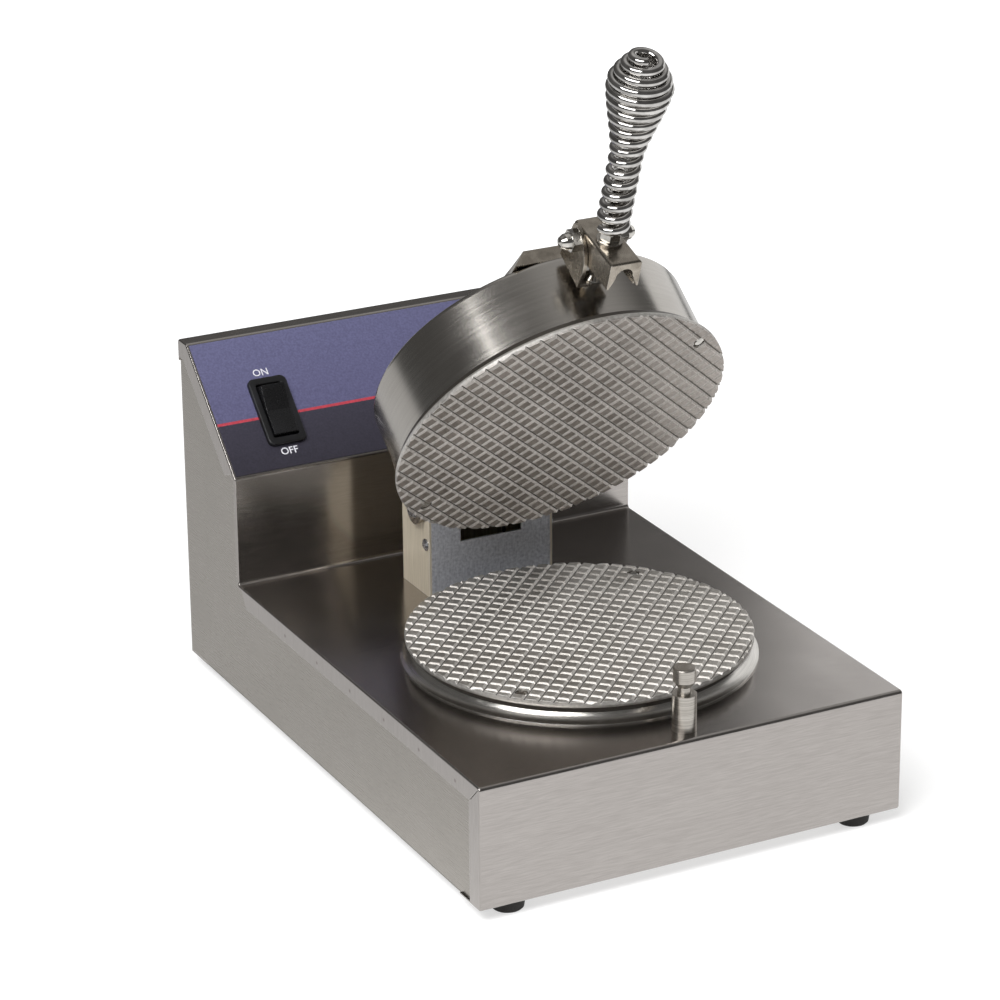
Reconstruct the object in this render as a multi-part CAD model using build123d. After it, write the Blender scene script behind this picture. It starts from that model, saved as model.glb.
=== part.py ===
from build123d import *

import os
from math import atan2, cos, degrees, hypot, radians, sin, sqrt, tan

# An electric cone iron: a sheet-metal base with a sloping control panel, a fixed waffle grid on
# its deck, and a second grid in a drum that swings on a pedestal hinge. A coil-spring handle works
# a forked latch that hooks a grooved post at the front. Lengths are millimetres.
#
# Bench frame: X to the right, Y from the front face to the back, Z up from the table. The last
# step moves the origin to the middle of the footprint.

# ---------------------------------------------------------------- driving sizes: sheet body
body_width = 237.0
base_height = 65.5          # front face, without the feet
riser_room = 32.0           # pedestal to the riser behind it
riser_height = 60.0
panel_run = 60.0            # sloping control panel, measured along Y
panel_rise = 57.0
ledge_depth = 11.0          # flat strip above the control panel
sheet = 1.2
bend_radius = 2.0           # outside radius of the long bends
side_bend_radius = 1.0
lip_width = 10.0            # edge folded down over each side panel
front_return = 11.0         # front face folded round onto each side panel
mitre_gap = 0.4
foot_seat_depth = 22.0      # bottom flange that carries the feet
side_flange = 12.0
back_lip = 12.0
fit = 0.2                   # room between folded sheets

# ---------------------------------------------------------------- feet
foot_height = 6.5
foot_radius = 9.0
foot_taper = 0.8
foot_side_inset = 20.5      # foot centre from the side of the body
foot_end_inset = 11.5       # foot centre from the front or back face
foot_recess_radius = 4.6
foot_recess_depth = 4.0
foot_screw_radius = 2.0
foot_screw_head_radius = 3.8
foot_screw_head_height = 2.0
foot_screw_reach = 5.0      # thread above the bottom flange

# ---------------------------------------------------------------- grids
grid_radius = 88.9          # 7 inch cooking face
grid_thickness = 7.0
grid_edge_height = 2.2      # upright edge below the face
grid_taper = 3.5            # the edge draws in by this towards the underside
grid_above_deck = 11.8
tile_pitch = 7.4
groove_width = 2.4
groove_depth = 1.3
groove_angle = 45.0
groove_shift = 1.7          # lattice moved from the grid's centre, along both directions
rib_from_edge = 25.9        # the heater's circle, in the middle of the rib, inside the edge of the face
rib_width = 14.0
rib_depth = 8.0
cone_gap = 3.0              # between the two faces when the iron is shut
grid_screw_inset = 7.9      # face screws inside the edge of the face
grid_screw_angle = 41.0
grid_screw_radius = 1.75
grid_screw_head_radius = 3.2
grid_screw_head_depth = 2.0
grid_screw_length = 17.0
screw_play = 0.15           # radial room round a screw

# ---------------------------------------------------------------- heaters
element_tube_radius = 4.0
element_groove_play = 0.1
element_arc = 320.0
element_leg = 12.0
clamp_thickness = 1.6
clamp_margin = 2.0          # the clamp ring is this much narrower than the rib
lid_leg_length = 9.0

# ---------------------------------------------------------------- deck fittings
collar_reach = 2.5          # collar beyond the edge of the grid
collar_edge_height = 0.8
collar_seat_inset = 3.7     # top of the cove inside the edge of the grid
deck_hole_gap = 1.0         # hole to the pan's wall
collar_hole_gap = 0.5       # collar's bore to the deck's hole
pan_depth = 34.0
pan_wall_gap = 7.0          # rib to the pan's wall
pan_sheet = 0.9
pan_flange_width = 18.0
pan_corner_radius = 6.0
insulation_thickness = 10.0
thermostat_radius = 8.0
thermostat_height = 9.0

# ---------------------------------------------------------------- drum round the upper grid
drum_inset = 0.9            # drum wall inside the casting's lower edge
drum_height = 38.5          # from the back of the grid to the top of the drum
drum_sheet = 1.2
drum_corner_radius = 3.0
tab_width = 12.0
tab_height = 14.0
tab_beyond_screw = 6.8
lid_insulation_thickness = 14.0
inner_gap = 1.0             # room round the insulation discs

# ---------------------------------------------------------------- hinge, pedestal and arm
open_angle = 53.9           # how far the lid stands open
hinge_behind_drum = 24.5    # hinge axis behind the drum's wall, with the iron shut
hinge_above_face = 32.5     # hinge axis above the upper grid's face, with the iron shut
pin_radius = 3.0
pin_play = 0.1
pin_head_radius = 5.0
pin_head_height = 2.0
clip_thickness = 1.2
pedestal_width = 72.8
pedestal_front_gap = 11.3   # pedestal front face before the hinge axis
pedestal_back_gap = 20.4
pedestal_above_hinge = 8.7
pedestal_sheet = 1.2
pedestal_corner_radius = 6.0
pedestal_reveal = 0.4
slot_width = 36.0
slot_height = 11.0
slot_below_hinge = 18.8     # lower edge of the slot under the hinge axis
front_flange = 13.0
pedestal_screw_drop = 18.3  # screw below the hinge axis
pedestal_screw_set_back = 3.8
pedestal_screw_radius = 2.0
pedestal_screw_head_radius = 3.2
pedestal_screw_head_height = 1.4
wire_hole_width = 30.0
wire_hole_depth = 12.0
washer_thickness = 1.4
washer_radius = 7.0
arm_sheet = 1.6
arm_side_gap = 0.2          # washer to pedestal and washer to arm
arm_front_inset = 3.5       # the arm's front end inside the drum's wall
arm_front_height = 8.0
arm_front_half_width = 31.5
arm_front_top_half_width = 23.7
arm_blend = 60.0            # leaning sides stand upright after this length
arm_rear_height = 28.0
arm_knuckle_radius = 8.5
arm_rear_lean = 12.0        # the rear edge leans forward by this
arm_rear_web_gap = 11.0     # the rear end starts this far above the drum
lid_wire_inset = 30.0       # hole for the wires inside the drum's wall
arm_screw_radius = 2.0
arm_screw_head_radius = 3.6
arm_screw_head_height = 1.8
arm_foot_width = 9.0        # flanges inside the arm that the screws hold to the drum
spring_play = 0.3           # radial room between pin and spring
spring_length = 20.0
spring_wire = 2.2
spring_leg = 26.0

# ---------------------------------------------------------------- latch and handle
post_set_back = 12.4        # front face to the post's axis
post_radius = 6.1
post_shaft_height = 19.2    # deck to the shoulder under the neck
post_neck_radius = 3.4
post_neck_height = 3.7
post_head_radius = 5.8
post_cone_height = 3.2
post_height = 33.0
post_thread_radius = 4.0
post_thread_length = 12.0
post_edge = 0.5
pivot_stand = 25.5          # handle pivot in front of the drum's wall
pivot_height = 35.6         # handle pivot above the upper grid's face
handle_rest_angle = 17.0    # handle above the lid when it is let go
bolt_radius = 3.0
clevis_sheet = 2.0
clevis_half_width = 10.8
clevis_bottom = 21.7
clevis_top = 42.6
clevis_standoff = 4.5       # boss between the drum and the clevis
clevis_front_gap = 5.7      # ear beyond the pivot
clevis_ear_radius = 18.0
clevis_corner_radius = 2.0
boss_radius = 4.6
boss_height = 26.2
boss_bolt_radius = 2.5
boss_bolt_head_radius = 5.3
boss_bolt_head_height = 3.0
boss_nut_flats = 8.0
bracket_sheet = 1.8
bracket_side_gap = 0.3      # bracket to clevis ear
bracket_web_offset = 5.6    # pivot axis to the outside of the web
bracket_tail = 8.2
bracket_reach = 30.6        # pivot axis to the outside of the fork
bracket_depth = 14.6
bracket_corner_radius = 1.6
fork_throat = 8.4           # depth of the neck's axis in the fork
fork_play = 1.3
fork_mouth_edge = 0.8       # metal left at each tip of the fork
stud_offset = 11.8
stud_radius = 3.0
stud_length = 34.0
lock_washer_radius = 6.6
lock_washer_thickness = 1.6
jam_nut_flats = 9.6
jam_nut_height = 5.0
acorn_flats = 10.0
acorn_hex_height = 4.4
acorn_dome_radius = 4.3
acorn_length = 10.2
wire_radius = 2.25
coil_neck_radius = 6.3      # mean radius of the straight turns
coil_bulb_radius = 14.3     # mean radius at the widest turn
coil_neck_turns = 6.5
coil_bulb_turns = 10.7
coil_neck_pitch = 6.5
coil_end_pitch = 3.7        # the pitch falls evenly to this over the bulb's turns
coil_bulb_rise = 38.9       # end of the neck to the widest turn
coil_end_radius = 5.2       # mean radius where the wire ends
coil_start_angle = 180.0    # the wire's end lies on the left
coil_stations = 12          # wire sections per turn
coil_sides = 6

# ---------------------------------------------------------------- control panel and electrics
overlay_thickness = 0.4
overlay_margin = 1.5
switch_from_side = 36.0
switch_up_panel = 34.5
switch_width = 22.0
switch_height = 40.0
bezel_rim = 2.4
bezel_proud = 2.6
bezel_corner = 1.5
switch_body_depth = 22.0
rocker_width = 13.6
rocker_length = 31.0
rocker_play = 0.4
rocker_swing = 16.0
rocker_rise = 4.4
rocker_pivot_depth = 1.0
rocker_end_slope = 1.6       # the ends lean in by this towards the top
rocker_pin_radius = 1.2
rocker_pin_length = 15.2
pilot_radius = 6.0
pilot_rim_radius = 7.6
pilot_rim_height = 1.6
pilot_dome_height = 3.2
pilot_body_depth = 20.0
gland_height = 34.0
gland_from_side = 58.5
gland_radius = 8.5
gland_bore_radius = 4.0
gland_proud = 6.0
gland_inside = 8.0
back_screw_radius = 1.9
back_screw_head_radius = 3.5
back_screw_head_height = 1.8
vent_length = 22.0
vent_width = 3.0
vent_pitch = 9.0
vent_count = 8
block_length = 46.0
block_depth = 17.0
block_height = 14.0
block_from_back = 60.0
block_well_radius = 3.2
block_well_depth = 4.0

# ---------------------------------------------------------------- places worked out from them
half_width = body_width / 2
deck = foot_height + base_height
riser_top = deck + riser_height
crown = riser_top + panel_rise
drum_radius = grid_radius - grid_taper - drum_inset
pivot_reach = drum_radius + pivot_stand
post_from_grid = pivot_reach - (fork_throat - bracket_web_offset)
grid_centre = post_set_back + post_from_grid
hinge_behind_grid = drum_radius + hinge_behind_drum
hinge_y = grid_centre + hinge_behind_grid
pedestal_face = hinge_y - pedestal_front_gap
pedestal_rear = hinge_y + pedestal_back_gap
riser_front = pedestal_rear + riser_room
panel_back = riser_front + panel_run
body_depth = panel_back + ledge_depth
middle_y = (body_depth + gland_proud) / 2
panel_angle = degrees(atan2(panel_rise, panel_run))
panel_length = hypot(panel_run, panel_rise)
grid_face = deck + grid_above_deck
shut_face = grid_face + cone_gap
hinge_z = shut_face + hinge_above_face
hinge_axis = Axis((0, hinge_y, hinge_z), (1, 0, 0))
post_y = post_set_back
drum_top = grid_thickness + drum_height
rib_circle_radius = grid_radius - rib_from_edge
rib_inner_radius = rib_circle_radius - rib_width / 2
rib_outer_radius = rib_circle_radius + rib_width / 2
grid_screw_circle = grid_radius - grid_screw_inset
pan_wall_radius = rib_outer_radius + pan_wall_gap
pan_flange_radius = pan_wall_radius + pan_flange_width
deck_hole_radius = pan_wall_radius + deck_hole_gap
collar_inner_radius = deck_hole_radius + collar_hole_gap
collar_radius = grid_radius + collar_reach
collar_cove_radius = grid_radius - collar_seat_inset
arm_front = drum_radius - arm_front_inset
switch_from_middle = half_width - switch_from_side
gland_from_middle = half_width - gland_from_side
panel_plane = Plane(
    origin=(0, riser_front, riser_top),
    x_dir=(1, 0, 0),
    z_dir=(0, -sin(radians(panel_angle)), cos(radians(panel_angle))),
)
side_plane = Plane.YZ           # local x is bench Y, local y is bench Z
bracket_plane = Plane(
    origin=(0, -pivot_reach, pivot_height),
    x_dir=(1, 0, 0),
    z_dir=(0, -cos(radians(handle_rest_angle)), sin(radians(handle_rest_angle))),
)

os.makedirs("parts", exist_ok=True)


# ---------------------------------------------------------------- helpers
def save(name, *solids):
    """Write one node, moved from the bench frame to the part's own origin."""
    placed = [solid.moved(Pos(0, -middle_y, 0)) for solid in solids]
    shape = placed[0] if len(placed) == 1 else Compound(children=placed)
    export_step(shape, f"parts/{name}.step")


def on_lid(shape):
    """Carry a shape from the lid's own frame (grid face at z 0, front at -y) to the open lid."""
    shut = shape.moved(Pos(0, grid_centre, shut_face))
    return shut.rotate(hinge_axis, -open_angle)


def on_handle(shape):
    """Carry a shape from the bracket's frame (pivot at the origin, handle along z) to the lid."""
    return on_lid(bracket_plane.location * shape)


def turned(*points):
    """Revolve a closed (radius, height) outline about Z."""
    return revolve(Plane.XZ * make_face(Polyline(*points, close=True)), Axis.Z)


def across(face, half):
    """Extrude a face drawn in the YZ plane to both sides of the middle."""
    return extrude(face, half, both=True)


def pan_screw(radius, head_radius, head_height, length):
    """Domed-head screw: the head sits on z 0 and the shank runs down."""
    dome = head_height * 0.55
    outline = [(0, -length), (radius, -length), (radius, 0), (head_radius, 0)]
    outline += [(head_radius, head_height - dome), (head_radius * 0.55, head_height), (0, head_height)]
    return turned(*outline)


def hexagon(flats, height):
    """Hex prism standing on z 0."""
    return extrude(RegularPolygon(flats / 2, 6, major_radius=False), height)


def facing(direction, point):
    """Location whose z axis points along direction."""
    side = (1, 0, 0) if abs(direction[0]) < 0.5 else (0, 1, 0)
    return Plane(origin=point, x_dir=side, z_dir=direction).location


# ---------------------------------------------------------------- sheet body
def side_outline(inset=0.0):
    """Side view of the body, with the long bends rounded."""
    corners = [
        (0, foot_height),
        (body_depth, foot_height),
        (body_depth, crown),
        (panel_back, crown),
        (riser_front, riser_top),
        (riser_front, deck),
        (0, deck),
    ]
    face = make_face(Polyline(*corners, close=True))
    face = fillet(face.vertices(), bend_radius)
    if inset:
        face = offset(face, amount=-inset, kind=Kind.INTERSECTION)
    return face


def lip_outlines():
    """The three folded edges that lie on each side panel, in the side view."""
    fold = lip_width
    front = Polyline(
        (0, foot_height),
        (front_return, foot_height),
        (front_return, deck - front_return - mitre_gap),
        (0, deck - mitre_gap),
        close=True,
    )
    top = Polyline(
        (mitre_gap, deck),
        (riser_front - fold / 3, deck),
        (riser_front - fold, deck - fold),
        (fold + mitre_gap, deck - fold),
        close=True,
    )
    along = (cos(radians(panel_angle)), sin(radians(panel_angle)))
    start = (riser_front + along[0] * fold / 3, riser_top + along[1] * fold / 3)
    inner_start = (start[0] + along[1] * fold + along[0] * fold / 2, start[1] - along[0] * fold + along[1] * fold / 2)
    climb = (crown - fold - inner_start[1]) / along[1]
    inner_corner = (inner_start[0] + along[0] * climb, crown - fold)
    slope = Polyline(
        start,
        (panel_back, crown),
        (body_depth, crown),
        (body_depth, crown - fold),
        inner_corner,
        inner_start,
        close=True,
    )
    return [make_face(line) for line in (front, top, slope)]


def body_wrap():
    ring = side_outline() - side_outline(sheet)
    open_bottom = Pos((foot_seat_depth + body_depth) / 2, foot_height) * Rectangle(
        body_depth - foot_seat_depth, 4 * sheet
    )
    open_back = Pos(body_depth, (crown - back_lip + foot_height) / 2 - sheet) * Rectangle(
        4 * sheet, crown - back_lip - foot_height + 2 * sheet
    )
    wrap = across(side_plane * (ring - open_bottom - open_back), half_width)
    for outline in lip_outlines():
        lip = extrude(side_plane * (outline & side_outline()), sheet)
        wrap += lip.moved(Pos(half_width - sheet, 0, 0))
        wrap += lip.moved(Pos(-half_width, 0, 0))
    folds = [
        edge
        for edge in wrap.edges().filter_by(GeomType.LINE)
        if abs(abs(edge.center().X) - half_width) < 0.01
        and edge.length > 3 * lip_width
        and on_folded_edge(edge.center())
    ]
    wrap = fillet(folds, side_bend_radius)
    wrap -= Pos(0, grid_centre, deck) * Cylinder(deck_hole_radius, 4 * sheet)
    for spot in grid_screw_spots():
        wrap -= Pos(spot[0], spot[1], deck) * Cylinder(grid_screw_radius + screw_play, 4 * sheet)
    wrap -= Pos(0, post_y, deck) * Cylinder(post_thread_radius + screw_play, 4 * sheet)
    for x, y in foot_spots():
        wrap -= Pos(x, y, foot_height) * Cylinder(foot_screw_radius + screw_play, 4 * sheet)
    wrap -= switch_cutout()
    wrap -= pilot_cutout()
    wrap -= Pos(0, hinge_y, deck) * Box(wire_hole_width, wire_hole_depth, 4 * sheet)
    return wrap


def on_folded_edge(point):
    """True on the deck, slope, ledge and front edges, which are folded onto the side panels."""
    on_deck = abs(point.Z - deck) < 0.01 and point.Y < riser_front
    on_ledge = abs(point.Z - crown) < 0.01
    on_slope = abs(panel_plane.to_local_coords(point).Z) < 0.01
    on_front = abs(point.Y) < 0.01
    return on_deck or on_ledge or on_slope or on_front


def side_panel(side):
    """Flat side with a bottom and a back flange; side is -1 for the left and 1 for the right."""
    outline = side_outline(sheet + fit)
    beyond = 2 * body_depth
    front_cut = Pos(foot_seat_depth / 2 - beyond / 2, 0) * Rectangle(beyond, beyond)
    blank = extrude(side_plane * outline, side_flange)
    hollow_outline = Pos(-sheet, sheet) * side_outline(sheet + fit)
    sweep_up = make_face(
        Polyline(
            (-beyond, foot_height + 2 * sheet + fit),
            (body_depth - 2 * sheet - fit, foot_height + 2 * sheet + fit),
            (body_depth - 2 * sheet - fit, beyond),
            (-beyond, beyond),
            close=True,
        )
    )
    hollow = extrude(side_plane * (sweep_up + hollow_outline), side_flange - sheet)
    panel = blank - hollow
    keep_flat = extrude(side_plane * front_cut, side_flange - sheet)
    panel -= keep_flat
    shift = half_width - sheet - side_flange
    if side > 0:
        return panel.moved(Pos(shift, 0, 0))
    return panel.mirror(Plane.YZ).moved(Pos(-shift, 0, 0))


def back_panel():
    height = crown - back_lip - fit - foot_height
    width = body_width - 2 * (sheet + fit)
    side = Polyline(
        (body_depth - foot_seat_depth, foot_height),
        (body_depth, foot_height),
        (body_depth, foot_height + height),
        (body_depth - sheet, foot_height + height),
        (body_depth - sheet, foot_height + sheet),
        (body_depth - foot_seat_depth, foot_height + sheet),
        close=True,
    )
    panel = across(side_plane * make_face(side), width / 2)
    panel -= facing((0, 1, 0), (gland_from_middle, body_depth, gland_height)) * Cylinder(
        gland_radius - 1 + screw_play, 4 * sheet
    )
    for x, z in back_screw_spots():
        panel -= facing((0, 1, 0), (x, body_depth, z)) * Cylinder(
            back_screw_radius + screw_play, 3 * sheet
        )
    for x, y in foot_spots():
        panel -= Pos(x, y, foot_height) * Cylinder(foot_screw_radius + screw_play, 4 * sheet)
    vents = Plane(origin=(0, body_depth, (deck + crown) / 2), x_dir=(1, 0, 0), z_dir=(0, 1, 0))
    panel -= extrude(vents * vent_row(), 3 * sheet, both=True)
    return panel


def vent_row():
    """Row of slots side by side."""
    slot = SlotOverall(vent_length, vent_width, rotation=90)
    return Sketch() + [place * slot for place in GridLocations(vent_pitch, 1, vent_count, 1)]


def back_screw_spots():
    x = half_width - sheet - side_flange / 2
    low = foot_height + foot_seat_depth
    high = crown - back_lip - side_flange
    return [(side * x, z) for side in (-1, 1) for z in (low, (low + high) / 2, high)]


def back_screws():
    screw = pan_screw(back_screw_radius, back_screw_head_radius, back_screw_head_height, 4 * sheet)
    return [facing((0, 1, 0), (x, body_depth, z)) * screw for x, z in back_screw_spots()]


def drilled_side_panel(side):
    panel = side_panel(side)
    for x, z in back_screw_spots():
        if x * side > 0:
            panel -= facing((0, 1, 0), (x, body_depth, z)) * Cylinder(
                back_screw_radius + screw_play, 8 * sheet
            )
    for x, y in bottom_screw_spots():
        if x * side > 0:
            panel -= Pos(x, y, foot_height) * Cylinder(back_screw_radius + screw_play, 8 * sheet)
    return panel


def bottom_plate():
    """Plate under the side flanges, between the front flange and the back panel's."""
    width = body_width - 2 * (sheet + fit)
    length = body_depth - 2 * (foot_seat_depth + fit)
    middle = Pos(0, body_depth / 2, foot_height + fit + sheet / 2)
    plate = middle * Box(width, length, sheet)
    for x, y in bottom_screw_spots():
        plate -= Pos(x, y, foot_height) * Cylinder(back_screw_radius + screw_play, 4 * sheet)
    plate -= extrude(Pos(0, grid_centre, foot_height) * vent_row(), 4 * sheet, both=True)
    return plate


def bottom_screw_spots():
    x = half_width - sheet - side_flange / 2
    low = foot_seat_depth + side_flange
    high = body_depth - foot_seat_depth - side_flange
    return [(side * x, y) for side in (-1, 1) for y in (low, (low + high) / 2, high)]


def bottom_screws():
    screw = pan_screw(back_screw_radius, back_screw_head_radius, back_screw_head_height, 4 * sheet)
    level = foot_height + fit
    return [facing((0, 0, -1), (x, y, level)) * screw for x, y in bottom_screw_spots()]


# ---------------------------------------------------------------- feet
def foot_spots():
    x = half_width - foot_side_inset
    return [(side * x, y) for y in (foot_end_inset, body_depth - foot_end_inset) for side in (-1, 1)]


def foot():
    """Rubber bumper with a recess for its screw."""
    return turned(
        (foot_screw_radius + screw_play, foot_height),
        (foot_radius, foot_height),
        (foot_radius - foot_taper, foot_taper),
        (foot_radius - 2 * foot_taper, 0),
        (foot_recess_radius, 0),
        (foot_recess_radius, foot_recess_depth),
        (foot_screw_radius + screw_play, foot_recess_depth),
    )


def foot_screws():
    grip = foot_height - foot_recess_depth + sheet + foot_screw_reach
    screw = pan_screw(foot_screw_radius, foot_screw_head_radius, foot_screw_head_height, grip)
    return [facing((0, 0, -1), (x, y, foot_recess_depth)) * screw for x, y in foot_spots()]


# ---------------------------------------------------------------- grids and heaters
def waffle_comb(angle, shift):
    """A long block whose top carries V-grooves side by side, moved by shift and turned about Z."""
    rows = int(grid_radius // tile_pitch) + 1
    half_land = (tile_pitch - groove_width) / 2
    outline = [(-(rows + 0.5) * tile_pitch + shift, -grid_thickness)]
    for row in range(-rows, rows + 1):
        middle = row * tile_pitch + shift
        outline += [
            (middle - tile_pitch / 2, -groove_depth),
            (middle - half_land, 0),
            (middle + half_land, 0),
        ]
    end = (rows + 0.5) * tile_pitch + shift
    outline += [(end, -groove_depth), (end, -grid_thickness)]
    block = extrude(Plane.XZ * make_face(Polyline(*outline, close=True)), grid_radius + tile_pitch, both=True)
    return block.rotate(Axis.Z, angle)


def grid_casting():
    """Cast grid, face up at z 0, with the heater rib below."""
    rib_base = -grid_thickness
    edge = grid_radius - grid_taper
    body = turned(
        (0, 0),
        (grid_radius, 0),
        (grid_radius, -grid_edge_height),
        (edge, rib_base),
        (rib_outer_radius, rib_base),
        (rib_outer_radius, rib_base - rib_depth),
        (rib_inner_radius, rib_base - rib_depth),
        (rib_inner_radius, rib_base),
        (0, rib_base),
    )
    body -= Pos(0, 0, rib_base - rib_depth) * Torus(
        rib_circle_radius, element_tube_radius + element_groove_play
    )
    below = Pos(0, 0, -grid_thickness / 2 - 2 * rib_depth) * Cylinder(
        2 * grid_radius, grid_thickness + 4 * rib_depth - 2 * groove_depth - grid_edge_height
    )
    tiles = waffle_comb(groove_angle, groove_shift) & waffle_comb(-groove_angle, groove_shift)
    grid = body & (tiles + below)
    for x, y in screw_circle():
        hole = turned(
            (0, -2 * grid_thickness),
            (grid_screw_radius + screw_play, -2 * grid_thickness),
            (grid_screw_radius + screw_play, -groove_depth - grid_screw_head_depth),
            (grid_screw_head_radius + screw_play, -groove_depth),
            (grid_screw_head_radius + screw_play, 1),
            (0, 1),
        )
        grid -= Pos(x, y, 0) * hole
    return grid


def screw_circle():
    """Two face screws opposite each other, about the grid centre."""
    x = grid_screw_circle * cos(radians(grid_screw_angle))
    y = grid_screw_circle * sin(radians(grid_screw_angle))
    return [(x, y), (-x, -y)]


def grid_screw_spots():
    return [(x, grid_centre + y) for x, y in screw_circle()]


def grid_screw():
    """Countersunk screw whose head lies on the tiles' level, z 0 at the groove floor."""
    return turned(
        (0, -grid_screw_length),
        (grid_screw_radius, -grid_screw_length),
        (grid_screw_radius, -grid_screw_head_depth),
        (grid_screw_head_radius, 0),
        (grid_screw_head_radius * 0.6, 0.5),
        (0, 0.5),
    )


def element():
    """Sheathed ring heater in the casting's groove, with its two cold ends turned down."""
    level = -grid_thickness - rib_depth
    ring = Plane.XZ * Pos(rib_circle_radius, level) * Circle(element_tube_radius)
    arc = revolve(ring, Axis.Z, element_arc)
    for turn in (0, element_arc):
        leg = Pos(rib_circle_radius, 0, level - element_leg / 2) * Cylinder(
            element_tube_radius - 0.5, element_leg
        )
        arc += leg.rotate(Axis.Z, turn)
    return arc


def element_clamp():
    """Ring plate that holds the heater in its groove, open where the heater's legs come out."""
    level = -grid_thickness - rib_depth - element_tube_radius
    ring = turned(
        (rib_inner_radius + clamp_margin, level - clamp_thickness),
        (rib_outer_radius - clamp_margin, level - clamp_thickness),
        (rib_outer_radius - clamp_margin, level),
        (rib_inner_radius + clamp_margin, level),
    )
    gap = 360 - element_arc
    reach = rib_outer_radius + clamp_margin
    wedge = make_face(
        Polyline(
            (0, 0),
            (reach, tan(radians(gap / 4)) * reach),
            (2 * reach, tan(radians(gap / 4)) * 2 * reach),
            (2 * reach, -tan(radians(1.25 * gap)) * 2 * reach),
            close=True,
        )
    )
    return ring - extrude(wedge, 2 * level, both=True)


def lower(shape):
    """Set a grid part, drawn face up at z 0, on the deck."""
    return shape.moved(Pos(0, grid_centre, grid_face))


def upper(shape):
    """Turn a grid part face down at z 0 and hang it in the lid."""
    return on_lid(shape.rotate(Axis.Y, 180))


# ---------------------------------------------------------------- deck fittings
def collar():
    """Polished trim ring with a hollow cove, between the deck and the lower grid."""
    top = grid_face - grid_thickness - deck
    cove = ThreePointArc(
        (collar_radius, collar_edge_height),
        (
            (collar_radius + collar_cove_radius) / 2 - 0.9,
            (top + collar_edge_height) / 2 - 0.6,
        ),
        (collar_cove_radius, top),
    )
    rest = Polyline(
        (collar_cove_radius, top),
        (collar_inner_radius, top),
        (collar_inner_radius, 0),
        (collar_radius, 0),
        (collar_radius, collar_edge_height),
    )
    ring = revolve(Plane.XZ * make_face([cove, rest]), Axis.Z)
    for x, y in screw_circle():
        ring -= Pos(x, y, 0) * Cylinder(grid_screw_radius + screw_play, 4 * top)
    return ring.moved(Pos(0, grid_centre, deck))


def heat_pan():
    """Drawn pan that hangs under the deck round the lower heater."""
    top = deck - sheet
    floor = top - pan_depth
    outside = turned(
        (0, floor),
        (pan_wall_radius - pan_corner_radius, floor),
        (pan_wall_radius, floor + pan_corner_radius),
        (pan_wall_radius, top - pan_sheet),
        (pan_flange_radius, top - pan_sheet),
        (pan_flange_radius, top),
        (pan_wall_radius - pan_sheet, top),
        (pan_wall_radius - pan_sheet, floor + pan_corner_radius + pan_sheet / 2),
        (pan_wall_radius - pan_corner_radius - pan_sheet / 2, floor + pan_sheet),
        (0, floor + pan_sheet),
    )
    pan = outside.moved(Pos(0, grid_centre, 0))
    for x, y in grid_screw_spots():
        pan -= Pos(x, y, top) * Cylinder(grid_screw_radius + screw_play, 4 * pan_sheet)
    leg_hole = Cylinder(element_tube_radius, 4 * pan_sheet)
    for turn in (0, element_arc):
        hole = (Pos(rib_circle_radius, 0, floor) * leg_hole).rotate(Axis.Z, turn)
        pan -= hole.moved(Pos(0, grid_centre, 0))
    return pan


def pan_insulation():
    """Fibre disc on the pan's floor, inside the ring of heater legs."""
    floor = deck - sheet - pan_depth + pan_sheet
    disc = Cylinder(
        rib_inner_radius - inner_gap,
        insulation_thickness,
        align=(Align.CENTER, Align.CENTER, Align.MIN),
    )
    return disc.moved(Pos(0, grid_centre, floor))


def thermostat():
    """Snap-disc thermostat on the middle of the lower grid's underside, with two blades."""
    body = Pos(0, 0, -grid_thickness - thermostat_height / 2) * Cylinder(
        thermostat_radius, thermostat_height
    )
    for side in (-1, 1):
        blade = Pos(side * thermostat_radius / 2, 0, -grid_thickness - thermostat_height)
        body += blade * Box(0.8, 4.8, 6, align=(Align.CENTER, Align.CENTER, Align.MAX))
    return lower(body)


# ---------------------------------------------------------------- latch post
def latch_post():
    """Turned post: shaft, necked groove for the fork, and a head coned underneath."""
    neck = post_shaft_height + post_neck_height
    post = turned(
        (0, -post_thread_length),
        (post_thread_radius, -post_thread_length),
        (post_thread_radius, 0),
        (post_radius, 0),
        (post_radius, post_shaft_height),
        (post_neck_radius, post_shaft_height),
        (post_neck_radius, neck),
        (post_head_radius, neck + post_cone_height),
        (post_head_radius, post_height - post_edge),
        (post_head_radius - post_edge, post_height),
        (0, post_height),
    )
    return post.moved(Pos(0, post_y, deck))


def post_nut():
    nut = hexagon(2 * post_radius + 1, post_thread_length / 2) - Cylinder(
        post_thread_radius, 3 * post_thread_length
    )
    return nut.moved(Pos(0, post_y, deck - sheet - post_thread_length / 2))


# ---------------------------------------------------------------- pedestal and hinge
pedestal_top = hinge_z + pedestal_above_hinge
pedestal_half = pedestal_width / 2
arm_inner = pedestal_half + washer_thickness + 2 * arm_side_gap
arm_outer = arm_inner + arm_sheet


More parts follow.
